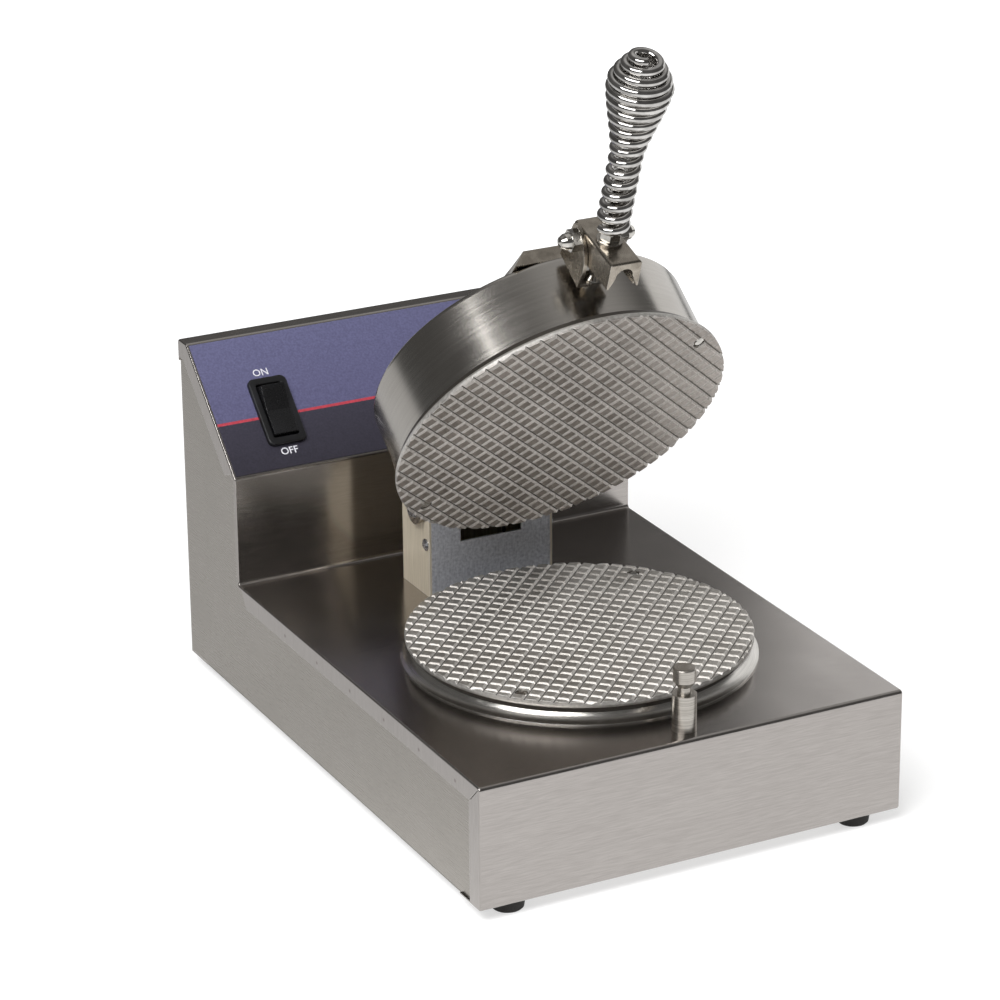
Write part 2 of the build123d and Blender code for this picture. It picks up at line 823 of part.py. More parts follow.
def pedestal_cover():
    """Folded cover: two sides, back and top, open to the front and below."""
    depth = pedestal_rear - pedestal_face
    height = pedestal_top - deck
    block = Pos(0, (pedestal_face + pedestal_rear) / 2, (deck + pedestal_top) / 2) * Box(
        pedestal_width, depth, height
    )
    rear_top = block.edges().filter_by(Axis.X).sort_by(Axis.Z)[-2:].sort_by(Axis.Y)[-1]
    block = fillet(rear_top, pedestal_corner_radius)
    front = block.faces().sort_by(Axis.Y)[0]
    below = block.faces().sort_by(Axis.Z)[0]
    shell = offset(block, amount=-pedestal_sheet, openings=[front, below])
    cover = shell if shell.volume < block.volume / 2 else block - shell
    cover -= pin_bore(pin_radius + pin_play)
    for side in (-1, 1):
        cover -= pedestal_screw_place(side) * Cylinder(pedestal_screw_radius + screw_play, 20)
    cover -= Pos(0, hinge_y, pedestal_top) * Box(wire_hole_width, wire_hole_depth, 4 * sheet)
    return cover


def pedestal_front():
    """Front plate with a slot, its two flanges turned back inside the cover."""
    half = pedestal_half - pedestal_sheet - fit
    top = pedestal_top - pedestal_sheet - fit
    plan = Polyline(
        (-half, pedestal_face + front_flange),
        (-half, pedestal_face),
        (half, pedestal_face),
        (half, pedestal_face + front_flange),
        (half - pedestal_sheet, pedestal_face + front_flange),
        (half - pedestal_sheet, pedestal_face + pedestal_sheet),
        (-half + pedestal_sheet, pedestal_face + pedestal_sheet),
        (-half + pedestal_sheet, pedestal_face + front_flange),
        close=True,
    )
    plate = extrude(Pos(0, 0, deck) * make_face(plan), top - deck)
    slot = Pos(0, pedestal_face, hinge_z - slot_below_hinge + slot_height / 2)
    plate -= slot * Box(slot_width, 4 * pedestal_sheet, slot_height)
    plate -= pin_bore(pin_radius + pin_play)
    for side in (-1, 1):
        plate -= pedestal_screw_place(side) * Cylinder(pedestal_screw_radius + screw_play, 20)
    return plate


def pedestal_screw_place(side):
    height = hinge_z - pedestal_screw_drop
    spot = (side * pedestal_half, pedestal_face + pedestal_screw_set_back, height)
    return facing((side, 0, 0), spot)


def pedestal_screws():
    screw = pan_screw(
        pedestal_screw_radius, pedestal_screw_head_radius, pedestal_screw_head_height, 5
    )
    return [pedestal_screw_place(side) * screw for side in (-1, 1)]


def pin_bore(radius):
    return facing((1, 0, 0), (0, hinge_y, hinge_z)) * Cylinder(radius, 2 * body_width)


def hinge_pin():
    """Pin through both sides of the arm and the pedestal, headed on the left."""
    reach = arm_outer + clip_thickness + 2
    head = (pin_head_radius, -arm_outer)
    rod = turned(
        (0, -arm_outer - pin_head_height),
        (pin_head_radius - 1, -arm_outer - pin_head_height),
        head,
        (pin_radius, -arm_outer),
        (pin_radius, reach),
        (0, reach),
    )
    return facing((1, 0, 0), (0, hinge_y, hinge_z)) * rod


def hinge_clip():
    ring = turned(
        (pin_radius, 0),
        (pin_head_radius, 0),
        (pin_head_radius, clip_thickness),
        (pin_radius, clip_thickness),
    )
    return facing((1, 0, 0), (arm_outer, hinge_y, hinge_z)) * ring


def hinge_washers():
    ring = turned(
        (pin_radius + pin_play, 0),
        (washer_radius, 0),
        (washer_radius, washer_thickness),
        (pin_radius + pin_play, washer_thickness),
    )
    start = pedestal_half + arm_side_gap
    return [facing((side, 0, 0), (side * start, hinge_y, hinge_z)) * ring for side in (-1, 1)]


def hinge_springs():
    """Close-wound lift springs on the pin, each with a leg down the pedestal's back."""
    springs = []
    inner = pin_radius + spring_play
    spring_outer_radius = inner + spring_wire
    for side in (-1, 1):
        start = pedestal_half - pedestal_sheet - fit - pedestal_sheet - 0.5
        coil = turned(
            (inner, 0),
            (spring_outer_radius, 0),
            (spring_outer_radius, spring_length),
            (inner, spring_length),
        )
        coil = facing((-side, 0, 0), (side * start, hinge_y, hinge_z)) * coil
        leg_x = side * (start - spring_length + spring_wire)
        leg = Pos(leg_x, hinge_y + (inner + spring_outer_radius) / 2, hinge_z) * Cylinder(
            0.4 * spring_wire, spring_leg, align=(Align.CENTER, Align.CENTER, Align.MAX)
        )
        springs.append(coil + leg)
    return springs


# ---------------------------------------------------------------- lid drum and arm
def drum():
    """Deep-drawn can behind the upper grid, open towards it, in the lid's frame."""
    bend = drum_corner_radius
    outer = [(drum_radius, grid_thickness), (drum_radius, drum_top - bend)]
    inner = drum_radius - drum_sheet
    inner_bend = bend - drum_sheet
    bend_mid = sin(radians(45))
    outside = Line(*outer)
    corner = ThreePointArc(
        (drum_radius, drum_top - bend),
        (drum_radius - bend + bend * bend_mid, drum_top - bend + bend * bend_mid),
        (drum_radius - bend, drum_top),
    )
    top = Polyline(
        (drum_radius - bend, drum_top),
        (0, drum_top),
        (0, drum_top - drum_sheet),
        (drum_radius - bend, drum_top - drum_sheet),
    )
    inner_corner = ThreePointArc(
        (drum_radius - bend, drum_top - drum_sheet),
        (
            drum_radius - bend + inner_bend * bend_mid,
            drum_top - bend + inner_bend * bend_mid,
        ),
        (inner, drum_top - bend),
    )
    inside = Polyline(
        (inner, drum_top - bend), (inner, grid_thickness), (drum_radius, grid_thickness)
    )
    can = revolve(Plane.XZ * make_face([outside, corner, top, inner_corner, inside]), Axis.Z)
    can -= facing((0, -1, 0), (0, -drum_radius, boss_height)) * Cylinder(
        boss_bolt_radius + screw_play, 8
    )
    for x, y in arm_screw_spots():
        can -= Pos(x, y, drum_top) * Cylinder(arm_screw_radius + screw_play, 8)
    can -= Pos(0, drum_radius - lid_wire_inset, drum_top) * Box(wire_hole_width, wire_hole_depth, 8)
    return can


def drum_tabs():
    """Two angle tabs inside the drum wall that take the upper grid's face screws."""
    tabs = []
    inner = drum_radius - drum_sheet - fit
    reach = inner - grid_screw_circle + tab_beyond_screw
    for turn in (grid_screw_angle, grid_screw_angle + 180):
        side = Polyline(
            (inner, grid_thickness),
            (inner - reach, grid_thickness),
            (inner - reach, grid_thickness + drum_sheet),
            (inner - drum_sheet, grid_thickness + drum_sheet),
            (inner - drum_sheet, grid_thickness + tab_height),
            (inner, grid_thickness + tab_height),
            close=True,
        )
        angle = degrees(tab_width / inner)
        tab = revolve(Plane.XZ * make_face(side), Axis.Z, angle).rotate(Axis.Z, -angle / 2)
        tab -= Pos(grid_screw_circle, 0, grid_thickness) * Cylinder(
            grid_screw_radius + screw_play, 6
        )
        tabs.append(tab.rotate(Axis.Z, turn))
    return tabs


def lid_insulation():
    top = drum_top - drum_sheet
    disc = Cylinder(
        rib_inner_radius - inner_gap,
        lid_insulation_thickness,
        align=(Align.CENTER, Align.CENTER, Align.MAX),
    )
    disc = disc.moved(Pos(0, 0, top))
    for x, y in arm_screw_spots():
        disc -= Pos(x, y, top) * Cylinder(
            arm_screw_head_radius + inner_gap / 2, 3 * lid_insulation_thickness
        )
    return disc


def arm_body(inset):
    """Arm in plan and section: upright sides at the hinge, leaning sides at the front."""
    rear = hinge_behind_grid + arm_knuckle_radius + inset
    blend = -arm_front + arm_blend
    wide = arm_outer - inset
    straight = drum_radius - 4
    growth = arm_blend / (arm_front + straight)
    middle = arm_front_half_width + (arm_outer - arm_front_half_width) * growth - inset
    half = [(wide, rear), (wide, straight), (middle, blend)]
    other = [(-x, y) for x, y in reversed(half)]
    body = extrude(make_face(Polyline(*half, *other, close=True)), 2 * body_width, both=True)
    lean = (arm_front_half_width - arm_front_top_half_width) / arm_front_height
    below = -1.0
    above = 2.2 * arm_front_height
    base = arm_front_half_width - inset * sqrt(1 + lean**2)
    sections = []
    for y, low, high in (
        (-arm_front + inset, base - lean * below, base - lean * above),
        (blend, middle, middle),
    ):
        section = make_face(
            Polyline((-low, below), (low, below), (high, above), (-high, above), close=True)
        )
        sections.append(Plane(origin=(0, y, drum_top), x_dir=(1, 0, 0), z_dir=(0, -1, 0)) * section)
    return body + loft(sections, ruled=True)


def arm_side(inset):
    """Side view of the arm in (y, z): a wedge over the drum with a knuckle at the hinge."""
    knuckle = Pos(hinge_behind_grid, hinge_above_face) * Circle(arm_knuckle_radius)
    rear_top = (hinge_behind_grid + arm_knuckle_radius - arm_rear_lean, drum_top + arm_rear_height - inset)
    wedge = Polyline(
        (-arm_front - 1, drum_top),
        (-arm_front - 1, drum_top + arm_front_height - inset),
        rear_top,
        (hinge_behind_grid + arm_knuckle_radius, hinge_above_face),
        (hinge_behind_grid - 0.9 * arm_knuckle_radius, hinge_above_face - 0.4 * arm_knuckle_radius),
        (drum_radius - 7, drum_top),
        close=True,
    )
    return make_face(wedge) + knuckle


def hinge_arm():
    """Inverted channel over the drum that carries the lid and covers its wires."""
    outer = arm_body(0) & across(side_plane * arm_side(0), body_width)
    inner = arm_body(arm_sheet) & across(
        side_plane
        * make_face(
            Polyline(
                (-2 * arm_front, 0),
                (2 * arm_front, 0),
                (2 * arm_front, drum_top + arm_rear_web_gap),
                (
                    hinge_behind_grid + arm_knuckle_radius - arm_rear_lean * 0.7 - arm_sheet,
                    drum_top + arm_rear_web_gap,
                ),
                (
                    hinge_behind_grid + arm_knuckle_radius - arm_rear_lean - arm_sheet,
                    drum_top + arm_rear_height - arm_sheet,
                ),
                (-arm_front - 1, drum_top + arm_front_height - arm_sheet),
                (-2 * arm_front, drum_top + arm_front_height - 2 * arm_sheet),
                close=True,
            )
        ),
        body_width,
    )
    arm = outer - inner
    for side in (-1, 1):
        inner_edge = arm_front_half_width - arm_foot_width
        foot_strip = Pos(side * (inner_edge + arm_outer) / 2, 0, drum_top) * Box(
            arm_outer - inner_edge,
            1.4 * arm_front,
            arm_sheet,
            align=(Align.CENTER, Align.CENTER, Align.MIN),
        )
        arm += foot_strip & outer
    for x, y in arm_screw_spots():
        arm -= Pos(x, y, drum_top) * Cylinder(arm_screw_radius + screw_play, 4 * arm_sheet)
    arm -= facing((1, 0, 0), (0, hinge_behind_grid, hinge_above_face)) * Cylinder(
        pin_radius + pin_play, 2 * body_width
    )
    return arm


def arm_screw_spots():
    x = arm_front_half_width - arm_foot_width / 2
    return [(side * x, y) for side in (-1, 1) for y in (-arm_front / 2, arm_front / 2)]


def arm_screws():
    """Screws from inside the drum up into the arm's flanges."""
    screw = pan_screw(arm_screw_radius, arm_screw_head_radius, arm_screw_head_height, 4.5)
    level = drum_top - drum_sheet
    return [facing((0, 0, -1), (x, y, level)) * screw for x, y in arm_screw_spots()]


# ---------------------------------------------------------------- latch clevis, in the lid's frame
clevis_back = drum_radius + clevis_standoff
clevis_front = pivot_reach + clevis_front_gap
ear_inner = clevis_half_width - clevis_sheet


def clevis():
    """Bent U-bracket: a base on the boss and two ears for the pivot bolt."""
    plan = Polyline(
        (-clevis_half_width, -clevis_front),
        (-clevis_half_width, -clevis_back),
        (clevis_half_width, -clevis_back),
        (clevis_half_width, -clevis_front),
        (ear_inner, -clevis_front),
        (ear_inner, -clevis_back - clevis_sheet),
        (-ear_inner, -clevis_back - clevis_sheet),
        (-ear_inner, -clevis_front),
        close=True,
    )
    blank = extrude(Pos(0, 0, clevis_bottom) * make_face(plan), clevis_top - clevis_bottom)
    bends = [
        edge
        for edge in blank.edges().filter_by(Axis.Z)
        if edge.center().Y > -clevis_back - 0.01
    ]
    blank = fillet(bends, clevis_corner_radius)
    ears = blank.edges().filter_by(Axis.X).filter_by(lambda e: e.center().Y < -clevis_front + 0.01)
    blank = fillet(ears.sort_by(Axis.Z)[:2], clevis_ear_radius)
    ears = blank.edges().filter_by(Axis.X).filter_by(lambda e: e.center().Y < -clevis_front + 0.01)
    blank = fillet(ears.sort_by(Axis.Z)[-2:], clevis_corner_radius)
    blank -= facing((1, 0, 0), (0, -pivot_reach, pivot_height)) * Cylinder(bolt_radius, 60)
    blank -= facing((0, -1, 0), (0, -clevis_back, boss_height)) * Cylinder(
        boss_bolt_radius + screw_play, 10
    )
    return blank


def clevis_boss():
    """Round stand-off between the drum wall and the clevis, hollowed to the wall's curve."""
    boss = facing((0, -1, 0), (0, -drum_radius + 1, boss_height)) * turned(
        (boss_bolt_radius + screw_play, 0),
        (boss_radius, 0),
        (boss_radius, clevis_standoff + 1),
        (boss_bolt_radius + screw_play, clevis_standoff + 1),
    )
    return boss - Pos(0, 0, boss_height) * Cylinder(drum_radius, 6 * boss_radius)


def clevis_bolt():
    """Bolt from between the ears, through boss and drum wall, with its nut inside the drum."""
    start = clevis_back + clevis_sheet
    length = start - drum_radius + drum_sheet + 6
    screw = pan_screw(boss_bolt_radius, boss_bolt_head_radius, boss_bolt_head_height, length)
    bolt = facing((0, -1, 0), (0, -start, boss_height)) * screw
    nut = hexagon(boss_nut_flats, 4) - Cylinder(boss_bolt_radius, 20)
    seat = -drum_radius + drum_sheet + 0.3
    return [bolt, facing((0, 1, 0), (0, seat, boss_height)) * nut]


def pivot_bolt():
    rod = facing((1, 0, 0), (0, -pivot_reach, pivot_height)) * Cylinder(
        bolt_radius, 2 * (clevis_half_width + acorn_hex_height)
    )
    return rod


def acorn_nuts():
    """Domed cap nuts on both ends of the pivot bolt."""
    bore = Pos(0, 0, acorn_hex_height / 2) * Cylinder(bolt_radius, acorn_hex_height)
    dome = turned(
        (0, acorn_hex_height),
        (acorn_dome_radius, acorn_hex_height),
        (acorn_dome_radius * 0.92, acorn_hex_height + 0.45 * (acorn_length - acorn_hex_height)),
        (acorn_dome_radius * 0.6, acorn_hex_height + 0.85 * (acorn_length - acorn_hex_height)),
        (0, acorn_length),
    )
    nut = hexagon(acorn_flats, acorn_hex_height) - bore + dome
    nuts = []
    for side in (-1, 1):
        place = facing((side, 0, 0), (side * clevis_half_width, -pivot_reach, pivot_height))
        nuts.append(place * nut)
    return nuts


# ---------------------------------------------------------------- latch bracket and handle
bracket_half = ear_inner - bracket_side_gap
coil_turns = coil_neck_turns + coil_bulb_turns


def latch_bracket():
    """Box-folded bracket whose front flange is forked to hook the post's neck."""
    length = bracket_tail + bracket_reach
    top = bracket_web_offset
    block = Pos(0, (bracket_tail - bracket_reach) / 2, top - bracket_depth / 2) * Box(
        2 * bracket_half, length, bracket_depth
    )
    long_top = block.edges().filter_by(Axis.Y).sort_by(Axis.Z)[-2:]
    front_top = block.edges().filter_by(Axis.X).sort_by(Axis.Z)[-2:].sort_by(Axis.Y)[0]
    block = fillet([*long_top, front_top], bracket_corner_radius)
    hollow = Pos(0, (bracket_tail - bracket_reach) / 2 + bracket_sheet, top - bracket_depth / 2)
    bracket = block - hollow * Pos(0, 0, -bracket_sheet) * Box(
        2 * (bracket_half - bracket_sheet), length, bracket_depth
    )
    throat_radius = post_neck_radius + fork_play
    depth = top - fork_throat
    mouth = top - bracket_depth
    throat = Pos(0, depth) * Circle(throat_radius)
    flare = make_face(
        Polyline(
            (-throat_radius, depth),
            (throat_radius, depth),
            (bracket_half - fork_mouth_edge, mouth - 0.1),
            (-bracket_half + fork_mouth_edge, mouth - 0.1),
            close=True,
        )
    )
    fork = extrude(Plane.XZ.offset(bracket_reach) * (throat + flare), -bracket_sheet)
    bracket -= fork
    bracket -= facing((1, 0, 0), (0, 0, 0)) * Cylinder(bolt_radius + pin_play, 60)
    bracket -= Pos(0, -stud_offset, top) * Cylinder(stud_radius + screw_play, 4 * bracket_sheet)
    return bracket


def handle_stud():
    """Threaded stud with a flat head inside the bracket."""
    base = bracket_web_offset - bracket_sheet
    stud = turned(
        (0, base - 2),
        (stud_radius + 1.2, base - 2),
        (stud_radius + 1.2, base),
        (stud_radius, base),
        (stud_radius, base + stud_length),
        (0, base + stud_length),
    )
    return Pos(0, -stud_offset, 0) * stud


def lock_washer():
    ring = turned(
        (stud_radius + screw_play, 0),
        (lock_washer_radius, 0),
        (lock_washer_radius, lock_washer_thickness),
        (stud_radius + screw_play, lock_washer_thickness),
    )
    return Pos(0, -stud_offset, bracket_web_offset) * ring


def jam_nut():
    nut = hexagon(jam_nut_flats, jam_nut_height)
    nut &= turned(
        (stud_radius, 0),
        (0.5 * jam_nut_flats, 0),
        (0.58 * jam_nut_flats, 0.9),
        (0.58 * jam_nut_flats, jam_nut_height - 0.9),
        (0.5 * jam_nut_flats, jam_nut_height),
        (stud_radius, jam_nut_height),
    )
    return Pos(0, -stud_offset, bracket_web_offset + lock_washer_thickness) * nut


def coil_height(turn):
    """Height of the winding's centre line at a given turn."""
    neck = min(turn, coil_neck_turns) * coil_neck_pitch
    bulb = max(0.0, turn - coil_neck_turns)
    fall = (coil_neck_pitch - coil_end_pitch) / coil_bulb_turns
    return neck + bulb * coil_neck_pitch - fall * bulb**2 / 2


def coil_radius(turn):
    """Mean radius of the winding: straight neck, swelling bulb, rounded end."""
    neck_top = coil_height(coil_neck_turns)
    rise = coil_height(turn) - neck_top
    if rise <= 0:
        return coil_neck_radius
    if rise <= coil_bulb_rise:
        part = rise / coil_bulb_rise
        swell = (part + part**2 * (3 - 2 * part)) / 2
        return coil_neck_radius + (coil_bulb_radius - coil_neck_radius) * swell
    part = (rise - coil_bulb_rise) / (coil_height(coil_turns) - neck_top - coil_bulb_rise)
    return coil_bulb_radius - (coil_bulb_radius - coil_end_radius) * part**1.4


def coil_angle(turn):
    return radians(coil_start_angle + 360 * turn)


def coil_point(turn):
    angle = coil_angle(turn)
    radius = coil_radius(turn)
    return Vector(radius * cos(angle), radius * sin(angle), coil_height(turn))


def coil_grip():
    """Spring-wire grip, lofted through a wire section at each station along the winding."""
    sections = []
    stations = round(coil_turns * coil_stations)
    for station in range(stations + 1):
        turn = coil_turns * station / stations
        angle = coil_angle(turn)
        heading = coil_point(min(turn + 0.01, coil_turns)) - coil_point(max(turn - 0.01, 0))
        place = Plane(origin=coil_point(turn), x_dir=(cos(angle), sin(angle), 0), z_dir=heading)
        sections.append(place * RegularPolygon(wire_radius, coil_sides))
    start = bracket_web_offset + lock_washer_thickness + jam_nut_height + wire_radius
    return Pos(0, -stud_offset, start) * loft(sections, ruled=True)


# ---------------------------------------------------------------- control panel
def on_panel(x, up, proud=0.0):
    """Location on the control panel: x from the middle, up the slope, and out of it."""
    return panel_plane.location * Pos(x, up, proud)


def switch_cutout():
    return on_panel(-switch_from_middle, switch_up_panel) * Box(
        switch_width - 2 * bezel_rim, switch_height - 2 * bezel_rim, 20
    )


def pilot_cutout():
    return on_panel(switch_from_middle, switch_up_panel) * Cylinder(pilot_radius, 20)


def panel_overlay():
    """Thin printed film on the slope, with openings for the switch and the pilot lamp."""
    film = on_panel(0, panel_length / 2, overlay_thickness / 2) * Box(
        body_width - 2 * overlay_margin, panel_length - 2 * overlay_margin, overlay_thickness
    )
    return film - switch_cutout() - pilot_cutout()


def switch_bezel():
    """Rocker switch housing: rim on the panel, body behind it, and a well for the rocker."""
    rim = Pos(0, 0, overlay_thickness) * extrude(
        RectangleRounded(switch_width, switch_height, bezel_corner), bezel_proud
    )
    rim = chamfer(rim.edges().group_by(Axis.Z)[-1], 0.8)
    body = Pos(0, 0, overlay_thickness) * Box(
        switch_width - 2 * bezel_rim - fit,
        switch_height - 2 * bezel_rim - fit,
        switch_body_depth,
        align=(Align.CENTER, Align.CENTER, Align.MAX),
    )
    well = Pos(0, 0, -10) * Box(
        rocker_width + 2 * rocker_play,
        rocker_length + 2 * rocker_play,
        40,
        align=(Align.CENTER, Align.CENTER, Align.MIN),
    )
    pivot = facing((1, 0, 0), (0, 0, -rocker_pivot_depth)) * Cylinder(
        rocker_pin_radius + pin_play, rocker_pin_length + 2 * rocker_play
    )
    return on_panel(-switch_from_middle, switch_up_panel) * (rim + body - well - pivot)


def rocker():
    """Rocker with two flat paddles that meet in a shallow valley over its pivot pin."""
    half = rocker_length / 2
    tip = half - rocker_end_slope
    lift = tan(radians(rocker_swing / 2)) * tip
    side = Polyline(
        (-half, -rocker_pivot_depth),
        (-tip, rocker_rise + lift),
        (0, rocker_rise),
        (tip, rocker_rise + lift),
        (half, -rocker_pivot_depth),
        (half * 0.4, -5.5),
        (-half * 0.4, -5.5),
        close=True,
    )
    body = across(side_plane * make_face(side), rocker_width / 2)
    pin = facing((1, 0, 0), (0, 0, -rocker_pivot_depth)) * Cylinder(
        rocker_pin_radius, rocker_pin_length
    )
    tilted = (body + pin).rotate(
        Axis((0, 0, -rocker_pivot_depth), (1, 0, 0)), rocker_swing / 2
    )
    return on_panel(-switch_from_middle, switch_up_panel) * tilted


def pilot_body():
    """Lamp holder: rim on the film and a barrel through the panel."""
    holder = turned(
        (pilot_radius - 1.2, overlay_thickness + pilot_rim_height),
        (pilot_rim_radius, overlay_thickness + pilot_rim_height),
        (pilot_rim_radius, overlay_thickness),
        (pilot_radius - fit, overlay_thickness),
        (pilot_radius - fit, -pilot_body_depth),
        (0, -pilot_body_depth),
        (0, -4),
        (pilot_radius - 1.2, -4),
    )
    return on_panel(switch_from_middle, switch_up_panel) * holder


def pilot_lens():
    top = overlay_thickness + pilot_rim_height
    lens = turned(
        (0, -4),
        (pilot_radius - 1.2, -4),
        (pilot_radius - 1.2, top),
        (0.7 * pilot_radius, top + 0.6 * pilot_dome_height),
        (0.35 * pilot_radius, top + pilot_dome_height),
        (0, top + pilot_dome_height),
    )
    return on_panel(switch_from_middle, switch_up_panel) * lens


def cord_gland():
    """Moulded bush in the back panel where the mains lead goes in."""
    neck = gland_radius - 1
    bush = turned(
        (gland_bore_radius, -gland_inside),
        (neck, -gland_inside),
        (neck, 0),
        (gland_radius + 1, 0),
        (gland_radius + 1, 2.2),
        (gland_radius - 2.4, gland_proud),
        (gland_bore_radius, gland_proud),
    )
    return facing((0, 1, 0), (gland_from_middle, body_depth, gland_height)) * bush


def terminal_block():
    """Three-way terminal block on the bottom plate."""
    floor = foot_height + 2 * sheet
    block = Box(block_length, block_depth, block_height, align=(Align.CENTER, Align.CENTER, Align.MIN))
    for column in (-1, 0, 1):
        well = Pos(column * block_length / 3, 0, block_height)
        block -= well * Cylinder(block_well_radius, 2 * block_well_depth)
    return block.moved(Pos(gland_from_middle, body_depth - block_from_back, floor))


# ---------------------------------------------------------------- write every node
save("body_wrap", body_wrap())
save("side_panel_left", drilled_side_panel(-1))
save("side_panel_right", drilled_side_panel(1))
save("back_panel", back_panel())
save("back_screws", *back_screws())
save("bottom_plate", bottom_plate())
save("bottom_screws", *bottom_screws())
foot_names = ["foot_front_left", "foot_front_right", "foot_rear_left", "foot_rear_right"]
for foot_name, (foot_x, foot_y) in zip(foot_names, foot_spots()):
    save(foot_name, foot().moved(Pos(foot_x, foot_y, 0)))
save("foot_screws", *foot_screws())
save("panel_overlay", panel_overlay())
save("switch_bezel", switch_bezel())
save("switch_rocker", rocker())
save("pilot_body", pilot_body())
save("pilot_lens", pilot_lens())
save("cord_gland", cord_gland())
save("terminal_block", terminal_block())
casting = grid_casting()
save("lower_grid", lower(casting))
save("lower_element", lower(element()))
save("lower_element_clamp", lower(element_clamp()))
save("lower_grid_screws", *[lower(Pos(x, y, -groove_depth) * grid_screw()) for x, y in screw_circle()])
save("collar_ring", collar())
save("heat_pan", heat_pan())
save("pan_insulation", pan_insulation())
save("thermostat", thermostat())
save("latch_post", latch_post())
save("post_nut", post_nut())
save("pedestal_cover", pedestal_cover())
save("pedestal_front", pedestal_front())
save("pedestal_screws", *pedestal_screws())
save("hinge_pin", hinge_pin())
save("hinge_clip", hinge_clip())
save("hinge_washers", *hinge_washers())
save("hinge_springs", *hinge_springs())
save("upper_grid", upper(casting))
save("upper_element", upper(element()))
save("upper_element_clamp", upper(element_clamp()))
save("upper_grid_screws", *[upper(Pos(x, y, -groove_depth) * grid_screw()) for x, y in screw_circle()])
save("drum", on_lid(drum()))
save("drum_tabs", *[on_lid(tab) for tab in drum_tabs()])
save("lid_insulation", on_lid(lid_insulation()))
save("hinge_arm", on_lid(hinge_arm()))
save("arm_screws", *[on_lid(screw) for screw in arm_screws()])
save("clevis", on_lid(clevis()))
save("clevis_boss", on_lid(clevis_boss()))
save("clevis_bolt", *[on_lid(piece) for piece in clevis_bolt()])
save("pivot_bolt", on_lid(pivot_bolt()))
save("acorn_nuts", *[on_lid(nut) for nut in acorn_nuts()])
save("latch_bracket", on_handle(latch_bracket()))
save("handle_stud", on_handle(handle_stud()))
save("lock_washer", on_handle(lock_washer()))
save("jam_nut", on_handle(jam_nut()))
save("coil_grip", on_handle(coil_grip()))
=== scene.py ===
# %% [markdown]
# # A countertop cone iron, dressed for the studio
# The shapes of this iron come from CAD. Here each piece gets the finish it has in the kitchen:
# brushed and polished stainless steel, cast aluminium, chromed wire, moulded plastic and a
# printed film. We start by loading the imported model, whose nodes keep their CAD places.

import math

import bpy
from mathutils import Matrix, Vector


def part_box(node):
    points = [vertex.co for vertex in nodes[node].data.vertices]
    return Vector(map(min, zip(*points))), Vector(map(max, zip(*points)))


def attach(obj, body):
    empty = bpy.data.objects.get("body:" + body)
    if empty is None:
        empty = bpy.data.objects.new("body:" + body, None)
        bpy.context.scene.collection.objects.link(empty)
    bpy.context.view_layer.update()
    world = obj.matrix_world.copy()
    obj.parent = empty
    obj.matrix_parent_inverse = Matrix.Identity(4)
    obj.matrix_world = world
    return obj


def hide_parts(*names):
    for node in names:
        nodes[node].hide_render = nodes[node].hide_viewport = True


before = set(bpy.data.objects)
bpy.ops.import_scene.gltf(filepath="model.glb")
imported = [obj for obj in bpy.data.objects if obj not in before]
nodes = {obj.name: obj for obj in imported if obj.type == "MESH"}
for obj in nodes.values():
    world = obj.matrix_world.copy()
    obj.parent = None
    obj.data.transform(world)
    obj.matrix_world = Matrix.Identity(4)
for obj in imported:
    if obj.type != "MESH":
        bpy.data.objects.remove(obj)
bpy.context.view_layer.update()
mm = 0.001

# %% [markdown]
# ## The camera
# A product shot like this is taken with a long lens from above and to the left. The camera is
# set by where it stands, the way it faces and its focal length. A small lens shift stands for
# a crop that isn't centred.

# %% Camera
camera_place = Vector((-0.8689, -1.6664, 0.8787))
camera_yaw = math.radians(27.717)
camera_pitch = math.radians(-21.682)
camera_roll = math.radians(-0.280)
forward = Vector(
    (
        math.sin(camera_yaw) * math.cos(camera_pitch),
        math.cos(camera_yaw) * math.cos(camera_pitch),
        math.sin(camera_pitch),
    )
)
level = Vector((math.cos(camera_yaw), -math.sin(camera_yaw), 0))
upright = level.cross(forward)
right = level * math.cos(camera_roll) + upright * math.sin(camera_roll)
up = upright * math.cos(camera_roll) - level * math.sin(camera_roll)
lens = bpy.data.cameras.new("camera")
lens.lens = 140.97
lens.sensor_width = 36
lens.shift_x = -0.0359
lens.shift_y = 0.0043
camera = bpy.data.objects.new("camera", lens)
bpy.context.collection.objects.link(camera)
camera_turn = Matrix((right, up, -forward)).transposed().to_4x4()
camera.matrix_world = Matrix.Translation(camera_place) @ camera_turn
bpy.context.scene.camera = camera
print("camera stands", round(camera_place.length, 3), "m from the middle of the footprint")

# %% [markdown]
# ## Small helpers for materials
# Colours are written as sRGB hex, as a paint chart gives them, and Blender's shaders work in
# linear light, so one function converts them. Another adds a shader node with its settings and
# its links. The rest are the few patterns that every finish here is made from: a noise whose
# grain is given in millimetres, a range, a ramp between colours, a bump, and the place about an
# axis.

# %% Helpers
def linear(hex_colour):
    channels = [int(hex_colour[i : i + 2], 16) / 255 for i in (1, 3, 5)]
    return [c / 12.92 if c <= 0.04045 else ((c + 0.055) / 1.055) ** 2.4 for c in channels] + [1.0]


def add_node(tree, kind, inputs=None, **settings):
    added = tree.nodes.new(kind)
    for name, value in settings.items():
        setattr(added, name, value)
    for name, value in (inputs or {}).items():
        if isinstance(value, bpy.types.NodeSocket):
            tree.links.new(value, added.inputs[name])
        else:
            added.inputs[name].default_value = value
    return added


def new_material(name, hex_colour, metallic, roughness):
    material = bpy.data.materials.new(name)
    material.use_nodes = True
    shader = material.node_tree.nodes["Principled BSDF"]
    shader.inputs["Base Color"].default_value = linear(hex_colour)
    shader.inputs["Metallic"].default_value = metallic
    shader.inputs["Roughness"].default_value = roughness
    return material, material.node_tree, shader


